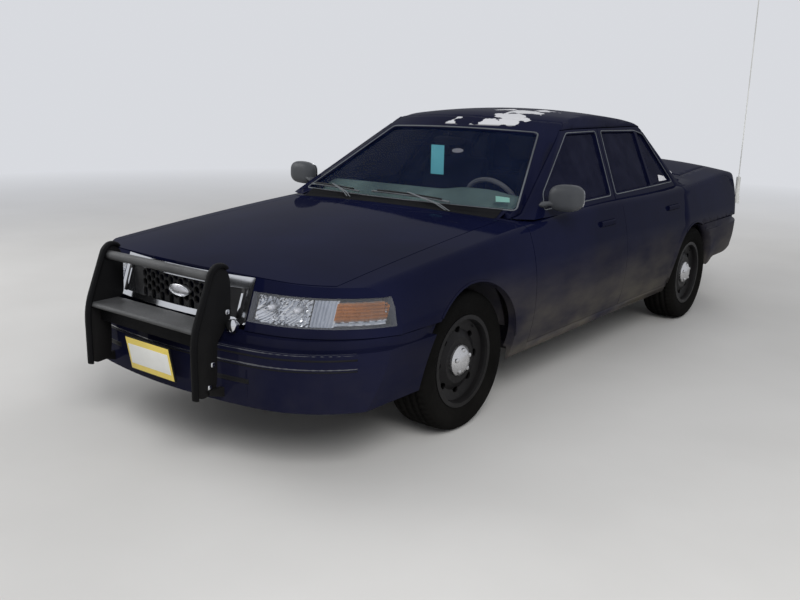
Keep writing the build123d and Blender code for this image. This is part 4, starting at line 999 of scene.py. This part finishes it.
dash_rings = []
for k in range(DASH_STEPS + 1):
    x = -DASH_HALF + 2 * DASH_HALF * k / DASH_STEPS
    rise = CLUSTER_RISE * math.exp(-(((x - CLUSTER_X) / CLUSTER_REACH) ** 4))
    inset = DASH_INSET * (1 - min(1.0, (DASH_HALF - abs(x)) / DASH_END))
    profile = [
        (664 + inset, DASH_FOOT), (662 + inset, 900), (668, 948), (700, 968 - inset), (780, 1018 - inset + rise * 0.5),
        (845, 1050 - inset + rise), (884, 1046 + rise * 0.8), (898, 1008 + rise * 0.4), (884, 940), (870, 880),
        (880, 800), (872, 740), (850, DASH_FOOT),
    ]
    dash_rings.append([(x / 1000, at(b), z / 1000) for b, z in profile])
lofted("dash_pad", dash_rings, "dash_plastic", levels=1, stands_for="dashboard")
shelf_rings = []
for k in range(SHELF_STEPS + 1):
    x = -SHELF_HALF + 2 * SHELF_HALF * k / SHELF_STEPS
    first = screen_behind(x, SCREEN_FOOT) - SHELF_GAP
    row = []
    for j in range(SHELF_ROWS + 1):
        b = first + (SHELF_END - first) * j / SHELF_ROWS
        spot = top_point("body_shell", x, b, SHELF_PROUD)
        free = spot is None or spot.z > SHELF_CEILING
        height = SHELF_Z if free else max(spot.z, SHELF_LOWEST - SHELF_FALL * (SHELF_ROWS - j))
        row.append(Vector((x / 1000, at(b), height)))
    shelf_rings.append(row + [spot - Vector((0, 0, SHELF_THICK)) for spot in reversed(row)])
lofted("dash_shelf", shelf_rings, "dash_plastic")
for x in VENT_X:
    for k in range(3):
        line = [((x + end) / 1000, at(VENT_BEHIND), VENT_Z + VENT_STEP * k) for end in (-VENT_HALF, VENT_HALF)]
        tube(f"dash_vent_{x + VENT_SHIFT}_{k}", line, 0.003, "trim_black")

# Push bumper: rounded plates with padded front edges, a top tube, a shelf and its brackets.
grained("pad_black", (0.0045, 0.0045, 0.005), 0.6, bump=0.5, scale=160, specular=0.07)
grained("shelf_grey", (0.068, 0.069, 0.070), 0.6, bump=0.5, scale=140, specular=0.3, spread=0.35)
UPRIGHT_X, UPRIGHT_HALF, UPRIGHT_CORNER = 0.377, 0.006, 26
UPRIGHT = [
    (-1180, 350), (-1180, 612), (-1080, 866), (-1058, 886), (-1022, 886), (-992, 850), (-985, 800),
    (-990, 650), (-1065, 570), (-1070, 420), (-1082, 350), (-1150, 342), (-1172, 352),
]
PAD_FOOT = [Vector((-1183, height)) for height in (344, 420, 500)]
PAD_EDGE = [(-1183, 346), (-1183, 612), (-1080, 868), (-1052, 891), (-1016, 888), (-992, 856)]
PAD_CORNER, PAD_STEP, PAD_RADIUS, PAD_FLAT = 70, 12, 0.020, 0.56
LUG = [(-1125, 352), (-1125, 374), (-1030, 374), (-1010, 340), (-880, 330), (-880, 314), (-1020, 322)]
LUG_X = (0.376, 0.400)
BAR_HALF, BAR_STEP, BAR_PLACE, BAR_RADIUS = 371, 53, (-1062, 0.842), 0.0205
SHELF_X = 0.370
SHELF = [(-1163, 611), (-1172, 622), (-1163, 634), (-1022, 636), (-1022, 626)]
WEB = [(-1122, 542), (-1122, 611), (-1102, 611), (-1102, 542)]


def side_plate(name, outline, x_low, x_high, material, corner, bevel=0.003):
    """Plate of the push bumper from a side-view outline, between two places across."""
    line = rounded(outline, corner, 6)
    rings = [[(x, at(b), z / 1000) for b, z in line] for x in (x_low, x_high)]
    bevelled(lofted(name, rings, material, stands_for="push_bumper"), bevel, 2)


for side, hand in SIDES:
    middle = side * UPRIGHT_X
    ends = (middle - UPRIGHT_HALF, middle + UPRIGHT_HALF)
    side_plate(f"push_plate_{hand}", UPRIGHT, *ends, "black_steel", UPRIGHT_CORNER)
    front_edge = PAD_FOOT + rounded(PAD_EDGE, PAD_CORNER, 6)[7:-7]
    points = [Vector((middle, at(b), z / 1000)) for b, z in dense(front_edge, PAD_STEP, closed=False)]
    normals = []
    for k in range(len(points)):
        ahead = points[min(k + 1, len(points) - 1)] - points[max(k - 1, 0)]
        normals.append(Vector((0, -ahead.z, ahead.y)).normalized())
    tube(
        f"push_pad_{hand}", points, PAD_RADIUS, "pad_black", flat=PAD_FLAT, sides=16,
        normals=normals, stands_for="push_bumper",
    )
    side_plate(f"push_bracket_{hand}", LUG, *sorted(side * x for x in LUG_X), "black_steel", 8)
line = [(x / 1000, at(BAR_PLACE[0]), BAR_PLACE[1]) for x in range(-BAR_HALF, BAR_HALF + 1, BAR_STEP)]
tube("push_tube", line, BAR_RADIUS, "shelf_grey", sides=24, stands_for="push_bumper")
side_plate("push_shelf", SHELF, -SHELF_X, SHELF_X, "shelf_grey", 8, 0.002)
side_plate("push_web", WEB, -SHELF_X, SHELF_X, "pad_black", 4)

# Lines and strips that follow the ends of the car.
# Grey gloss for beads on the bumper's ledges: its colour, lighter than the paint, is a painted highlight line.
grained("gloss_strip", (0.05, 0.053, 0.062), 0.16, coat=1.0, bump=0.0)
FRONT_TURNS, REAR_TURNS = range(-62, 63, 2), range(128, 233, 2)
FRONT_PIVOT, REAR_PIVOT = -300, 3600


def wrap_line(name, node, turns, height, behind, radius, material, flat=0.6, proud=0.0):
    """Bead along an end's surface at one height, met by level rays towards a pivot on the centreline.

    A turn of 0 degrees looks straight ahead from the pivot.
    """
    centre = Vector((0, at(behind), height / 1000))
    points, normals = [], []
    for turn in turns:
        way = Vector((math.sin(math.radians(turn)), -math.cos(math.radians(turn)), 0))
        found = touch(node, centre + way * AROUND, -way)[0]
        if found is not None:
            points.append(found + way * proud)
            normals.append(Vector((points[-1].x, points[-1].y - at(behind), 0)).normalized())
    tube(name, points, radius, material, flat=flat, normals=normals)


# Front bumper beads: the lip and the low strip are lighter than the paint as painted highlight lines, and the black
# grooves are painted shade in the bumper's creases.
for name, height, radius, material, proud in (
    ("bumper_lip", 556, 0.007, "gloss_strip", -0.004),
    ("bumper_groove_high", 536, 0.005, "trim_black", -0.001),
    ("bumper_strip_low", 498, 0.006, "gloss_strip", -0.003),
    ("bumper_groove_low", 488, 0.004, "trim_black", -0.001),
):
    wrap_line(name, "bumper_front", FRONT_TURNS, height, FRONT_PIVOT, radius, material, proud=proud)
# Black strips on the front bumper's face are painted shade inside its intake slots.
for hand, turns in (("left", range(22, 37)), ("right", range(-36, -21))):
    wrap_line(f"bumper_slot_{hand}", "bumper_front", turns, 420, FRONT_PIVOT, 0.013, "trim_black", 0.35, -0.002)
# Black bead sunk into the rear bumper is painted shade in its crease.
wrap_line("rear_bumper_groove", "bumper_rear", REAR_TURNS, 560, REAR_PIVOT, 0.005, "trim_black", proud=-0.001)

# Lips of the wheel arches.
LIP_GAP, LIP_BEAD, LIP_STEPS, LIP_LEAST_X = 4, 0.006, 40, 0.85


def arch_lip(name, node, behind, radius, start, end, side):
    """Bead along a wheel arch's edge."""
    points = []
    for k in range(LIP_STEPS + 1):
        turn = math.radians(start + (end - start) * k / LIP_STEPS)
        b, z = behind - (radius + LIP_GAP) * math.cos(turn), WHEEL_HEIGHT + (radius + LIP_GAP) * math.sin(turn)
        found = side_point(node, b, z, side, 0.001)
        if found is not None and abs(found.x) > LIP_LEAST_X:
            points.append(found)
    tube(name, points, LIP_BEAD, "paint", flat=0.8, normals=[(side, 0, 0.2)] * len(points))


for side, hand in SIDES:
    arch_lip(f"arch_lip_front_{hand}", f"fender_{hand}", 0, 395, 2, 172, side)
    arch_lip(f"arch_lip_rear_{hand}", "body_shell", WHEELBASE, 375, 60, 178, side)

# Splash shields inside the arches, ahead of the front tyres and behind the rear ones: axle, radius, start and end.
grained("shield_black", (0.006, 0.006, 0.006), 0.8, bump=0.3, dirt=0.1, specular=0.02)
SHIELD_SECTION, SHIELD_STEPS = ((0.700, 0.0), (0.900, 0.0), (0.900, 0.004), (0.700, 0.004)), 12
for side, hand in SIDES:
    for place, axle, radius, start, end in (("front", 0, 0.428, 138, 186), ("rear", WHEELBASE, 0.396, -12, 50)):
        rings = []
        for k in range(SHIELD_STEPS + 1):
            turn = math.radians(start + (end - start) * k / SHIELD_STEPS)
            across, up = math.cos(turn), math.sin(turn)
            rings.append([
                (side * x, at(axle) + (radius + r) * across, WHEEL_HEIGHT / 1000 + (radius + r) * up)
                for x, r in SHIELD_SECTION
            ])
        lofted(f"splash_shield_{place}_{hand}", rings, "shield_black")

# Louvred cowl panel between the hood's rear edge and the windscreen's base.
grained("cowl_black", (0.008, 0.008, 0.009), 0.7, scale=220, bump=0.3, specular=0.03)
HOOD_EDGE = ((-735, 548), (0, 445), (735, 548))
COWL_HALF, COWL_STEPS, COWL_ROWS, COWL_GAPS, LOUVRE = 700, 60, 8, (9, 4), 0.0015
SCREEN_EDGE_HALF, SCREEN_EDGE_RISE = 762, (52, 80)
hood_arc = arc_through(*HOOD_EDGE)


def hood_rear(x):
    """Place of the hood's rear edge behind the front axle."""
    return hood_arc[1] - math.sqrt(hood_arc[2] ** 2 - x * x)


verts = []
for k in range(COWL_STEPS + 1):
    x = -COWL_HALF + 2 * COWL_HALF * k / COWL_STEPS
    foot, rise = SCREEN_EDGE_RISE
    first = hood_rear(x) + COWL_GAPS[0]
    last = behind_axle(on_screen(x, foot + rise * (x / SCREEN_EDGE_HALF) ** 2)[1]) - COWL_GAPS[1]
    for j in range(COWL_ROWS + 1):
        verts.append(top_point("body_shell", x, first + (last - first) * j / COWL_ROWS, LOUVRE + LOUVRE * (j % 2)))
faces = quads(COWL_STEPS + 1, COWL_ROWS + 1, round_rings=False)
piece("cowl_panel", verts, faces, "cowl_black", smooth=False)

# Stickers and dots.
grained("sticker_green", (0.30, 0.62, 0.52), 0.5, spread=0.3, scale=120, bump=0.0)
grained("sticker_white", (0.70, 0.70, 0.72), 0.5, spread=0.1, bump=0.0)
STICKER_THICK, CABIN_MIDDLE = 0.0008, Vector((0, 0.3, 0))
SCREEN_STICKER, SCREEN_STICKER_PROUD = ((592, 218), (672, 228), (692, 192), (618, 172)), -0.016
QUARTER_STICKER, QUARTER_STICKER_IN = ((2552, 1030), (2704, 1030), (2676, 1058), (2580, 1072)), 0.0125
SPOT_MIDDLE, SPOT_HALF, SPOT_DEPTHS = (150, 548), (38, 22), (0.012, 0.013)
PILLAR_DOTS, DOT_HALF = ((2905, 1070), (2960, 1062), (3005, 1052)), (0.004, 0.010, 0.009)


def patch(name, points, material, body="root", proud=0.0015):
    """Thin four-cornered sticker pushed outwards from the cabin."""
    corner = [Vector(p) for p in points]
    normal = (corner[1] - corner[0]).cross(corner[3] - corner[0]).normalized()
    if normal.dot(CABIN_MIDDLE - corner[0]) > 0:
        normal = -normal
    verts = [c + normal * proud for c in corner] + [c + normal * (proud - STICKER_THICK) for c in corner]
    faces = [(0, 1, 2, 3), (7, 6, 5, 4), (0, 4, 5, 1), (1, 5, 6, 2), (2, 6, 7, 3), (3, 7, 4, 0)]
    piece(name, verts, faces, material, body, smooth=False)


patch("screen_sticker", [on_screen(x, r) for x, r in SCREEN_STICKER], "sticker_green", proud=SCREEN_STICKER_PROUD)
oval = [
    on_screen(SPOT_MIDDLE[0] + SPOT_HALF[0] * math.cos(a), SPOT_MIDDLE[1] + SPOT_HALF[1] * math.sin(a))
    for a in angles(24)
]
lofted("screen_oval", [[(x, y + d, z - d) for x, y, z in oval] for d in SPOT_DEPTHS], "sticker_white", smooth=False)
points = [(cabin_x(b, z) / 1000 - QUARTER_STICKER_IN, at(b), z / 1000) for b, z in QUARTER_STICKER]
patch("quarter_sticker", points, "sticker_white", "door_rear_left")
for k, (b, z) in enumerate(PILLAR_DOTS):
    found = side_point("body_shell", b, z, 1, 0.001)
    rounded_block(f"pillar_dot_{k}", found, DOT_HALF, 2.5, "sticker_white", segments=(14, 10))

# Rear plate, blank, with its frame and bed: half width, heights, and places of the faces off the lid's surface.
REAR_PLATE_Z, REAR_PLATE_HIGH = 0.735, 0.145
rear_low, rear_high = (
    touch("trunk_lid", (0, ASTERN, REAR_PLATE_Z + rise), (0, -1, 0))[0].y for rise in (0, REAR_PLATE_HIGH)
)


def lid_lean(x, y, z):
    """The rear plate leans with the lid's face."""
    return (x, y + (rear_high - rear_low) * (z - REAR_PLATE_Z) / REAR_PLATE_HIGH, z)


for name, half, low, high, front, rear, material in (
    ("rear_plate", 0.152, 0.737, 0.887, 0.0045, 0.0075, "plate_white"),
    ("rear_plate_frame", 0.158, 0.732, 0.892, -0.002, 0.0055, "trim_black"),
    ("rear_plate_bed", 0.30, 0.724, 0.896, -0.012, 0.0020, "trim_black"),
):
    ends = (-half, rear_low + front, low), (half, rear_low + rear, high)
    box_piece(name, *ends, material, "trunk_lid", bevel=0.001, shear=lid_lean)

# Bumps over the wheel nuts on the hub caps.
hub_silver = grained("hub_silver", (0.55, 0.55, 0.56), 0.28, metallic=0.9, spread=0.25, scale=25, bump=0.15)
NUT_OUT, NUT_CIRCLE, NUT_SHIFT, NUT_HALF = 0.094, 0.054, 0.3, (0.014, 0.0125, 0.0125)
for place, hand, side in WHEELS:
    low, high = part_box(f"tyre_{place}_{hand}")
    cap = nodes[f"hub_cap_{place}_{hand}"].data.materials
    cap.clear()
    cap.append(hub_silver)
    for k, turn in enumerate(angles(5, NUT_SHIFT)):
        spot = (low + high) / 2 + Vector((side * NUT_OUT, NUT_CIRCLE * math.cos(turn), NUT_CIRCLE * math.sin(turn)))
        name, body = f"nut_cover_{place}_{hand}_{k}", f"wheel_{place}_{hand}"
        rounded_block(name, spot, NUT_HALF, 2.4, "hub_silver", body, segments=(14, 10))

# Small round lamp beside the push bumper, bolts on the uprights, and bolts at the antenna's base.
SPOT_LAMP, SPOT_PLACE = [(0, 0.5), (2, 24), (8, 29), (30, 26), (46, 14), (50, 0.5)], (0.424, at(-1036), 0.640)
STEM = [(0.424, at(-1010), z) for z in (0.606, 0.630)]
BOLT_X, BOLT_PLACES, BOLT_HALF = 0.3865, ((-1115, 385), (-1095, 480), (-1010, 690)), (0.004, 0.011, 0.011)
ANTENNA_X, ANTENNA_IN, ANTENNA_Z = 0.925, 0.025, 0.800
ANTENNA_BOLTS, ANTENNA_BOLT_HALF = ((-0.060, 0.010), (-0.030, 0.012)), (0.007, 0.007, 0.006)
turned("spot_lamp", SPOT_LAMP, SPOT_PLACE, "chrome", segments=32, axis="y", closed=False)
tube("spot_lamp_stem", STEM, 0.008, "trim_black")
for side, hand in SIDES:
    for k, (b, z) in enumerate(BOLT_PLACES):
        spot = (side * BOLT_X, at(b), z / 1000)
        rounded_block(f"upright_bolt_{hand}_{k}", spot, BOLT_HALF, 4, "chrome", segments=(12, 8))
antenna_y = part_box("antenna")[0].y + ANTENNA_IN
for k, (x, z) in enumerate(ANTENNA_BOLTS):
    spot = (ANTENNA_X + x, antenna_y, ANTENNA_Z + z)
    rounded_block(f"antenna_bolt_{k}", spot, ANTENNA_BOLT_HALF, 4, "chrome", segments=(12, 8))

# Engine bay, guessed: covers, plenum, air box, battery, radiator and hoses round the plain engine block.
grained("cover_grey", (0.12, 0.12, 0.115), 0.5, metallic=0.5, bump=0.5, dirt=0.3)
grained("bay_black", (0.010, 0.010, 0.011), 0.6, bump=0.3, specular=0.15)
RUNNERS, RUNNER_START, RUNNER_STEP, RUNNER_RADIUS = 7, -390, 80, 0.016
RUNNER_LINE = ((0.128, 0.800), (0.095, 0.836), (0.050, 0.836))
FINS, FIN_HALF, FIN_Z, FIN_STEP, FIN_RADIUS = 24, 0.335, 0.400, 0.014, 0.0022
POST_AT, POST_SPOTS, BATTERY_POST_RADIUS = 0.320, (-660, -520), 0.009
AIR_DUCT = ((-0.330, -450, 0.735), (-0.300, -400, 0.790), (-0.180, -440, 0.822), (-0.040, -420, 0.822))
HOSE_TOP = ((0.240, -770, 0.715), (0.230, -700, 0.745), (0.130, -600, 0.770), (0.060, -480, 0.760))
HOSE_LOW = ((-0.260, -770, 0.420), (-0.240, -660, 0.410), (-0.180, -560, 0.440), (-0.140, -480, 0.470))
for side, hand in SIDES:
    rounded_block(f"valve_cover_{hand}", (side * 0.178, at(-150), 0.806), (0.058, 0.290, 0.040), 5, "cover_grey")
    for k in range(RUNNERS):
        line = [(side * x, at(RUNNER_START + RUNNER_STEP * k), z) for x, z in RUNNER_LINE]
        tube(f"plenum_runner_{hand}_{k}", line, RUNNER_RADIUS, "bay_black")
for name, x, behind, z, half, power, material in (
    ("intake_plenum", 0, -150, 0.818, (0.070, 0.280, 0.034), 4, "bay_black"),
    ("air_box", -0.352, -560, 0.690, (0.088, 0.130, 0.085), 5, "bay_black"),
    ("battery", 0.350, -590, 0.690, (0.084, 0.115, 0.085), 9, "bay_black"),
    ("battery_cover", 0.350, -590, 0.778, (0.080, 0.111, 0.010), 9, "cover_grey"),
    ("radiator", 0, -792, 0.560, (0.360, 0.024, 0.185), 12, "bay_black"),
    ("coolant_bottle", 0.350, -330, 0.700, (0.070, 0.085, 0.075), 4, "antenna_white"),
):
    rounded_block(name, (x, at(behind), z), half, power, material)
for k, behind in enumerate(POST_SPOTS):
    tube(f"battery_post_{k}", [(POST_AT, at(behind), z) for z in (0.780, 0.800)], BATTERY_POST_RADIUS, "aluminium")
for k in range(FINS):
    line = [(x, at(-769), FIN_Z + FIN_STEP * k) for x in (-FIN_HALF, FIN_HALF)]
    tube(f"radiator_fin_{k}", line, FIN_RADIUS, "aluminium", sides=6)
for name, line, radius in (("air_duct", AIR_DUCT, 0.032), ("hose_top", HOSE_TOP, 0.021), ("hose_low", HOSE_LOW, 0.021)):
    tube(name, [(x, at(behind), z) for x, behind, z in line], radius, "bay_black", sides=20)

# Floor, world and soft lamps.
BACKDROP, BACKDROP_LIGHT, WORLD_LIGHT = (0.93, 0.95, 1.0), 0.74, 0.45
FLOOR_HALF, FLOOR_FADE = 60, (5.0, 13.0)
LAMP_SIZE = 4.0


def shows_backdrop(node):
    """1 for rays from the camera, in reflections and through glass."""
    path = node("ShaderNodeLightPath").outputs
    seen = joined(node, "MAXIMUM", path["Is Camera Ray"], path["Is Glossy Ray"])
    return joined(node, "MAXIMUM", seen, path["Is Transmission Ray"])


def floor_material():
    """Matt pale floor that keeps shadows near the object and fades into the backdrop far away."""
    made, shader, node, link, place = new_material("floor_grey")
    tone = mixed(node, ramp(node, noise(node, place, 0.8, 5.0), 0.35, 0.65), (0.60, 0.59, 0.57), (0.64, 0.63, 0.61))
    link(tone, shader.inputs["Base Color"])
    shader.inputs["Roughness"].default_value = 0.9
    away = joined_vector(node, "LENGTH", place)
    fade = joined(node, "MULTIPLY", ramp(node, away, *FLOOR_FADE), shows_backdrop(node))
    glow = node("ShaderNodeEmission", {"Color": (*BACKDROP, 1), "Strength": BACKDROP_LIGHT})
    blend = node("ShaderNodeMixShader", {0: fade, 1: shader.outputs[0], 2: glow.outputs[0]})
    output = next(n for n in made.node_tree.nodes if n.type == "OUTPUT_MATERIAL")
    link(blend.outputs[0], output.inputs["Surface"])
    return made


floor_mesh = bpy.data.meshes.new("floor")
corners = [(x * FLOOR_HALF, y * FLOOR_HALF, 0) for x, y in ((-1, -1), (1, -1), (1, 1), (-1, 1))]
floor_mesh.from_pydata(corners, [], [(0, 1, 2, 3)])
floor_mesh.materials.append(floor_material())
placed("floor", floor_mesh)

world = bpy.data.worlds.new("world")
bpy.context.scene.world = world
world.use_nodes = True
background = world.node_tree.nodes["Background"]
sky = node_maker(world.node_tree)
strength = ramp(sky, shows_backdrop(sky), 0.0, 1.0, WORLD_LIGHT, BACKDROP_LIGHT)
world.node_tree.links.new(strength, background.inputs["Strength"])
background.inputs["Color"].default_value = (*BACKDROP, 1)


def area_lamp(name, place, target, power, mirrored):
    """Soft square lamp aimed at a point, left out of reflections if asked."""
    data = bpy.data.lights.new(name, "AREA")
    data.energy, data.size = power, LAMP_SIZE
    lamp = placed(name, data)
    lamp.location = place
    lamp.visible_glossy = mirrored
    lamp.rotation_mode = "QUATERNION"
    lamp.rotation_quaternion = (Vector(target) - Vector(place)).to_track_quat("-Z", "Y")


area_lamp("key", (5.5, -5.5, 5.5), (0, -0.5, 0.6), 420, mirrored=False)
area_lamp("fill", (-6.0, -4.0, 4.5), (0, 0, 0.6), 200, mirrored=True)
area_lamp("rim", (-1.0, 9.0, 7.0), (0, 0, 0.8), 200, mirrored=False)
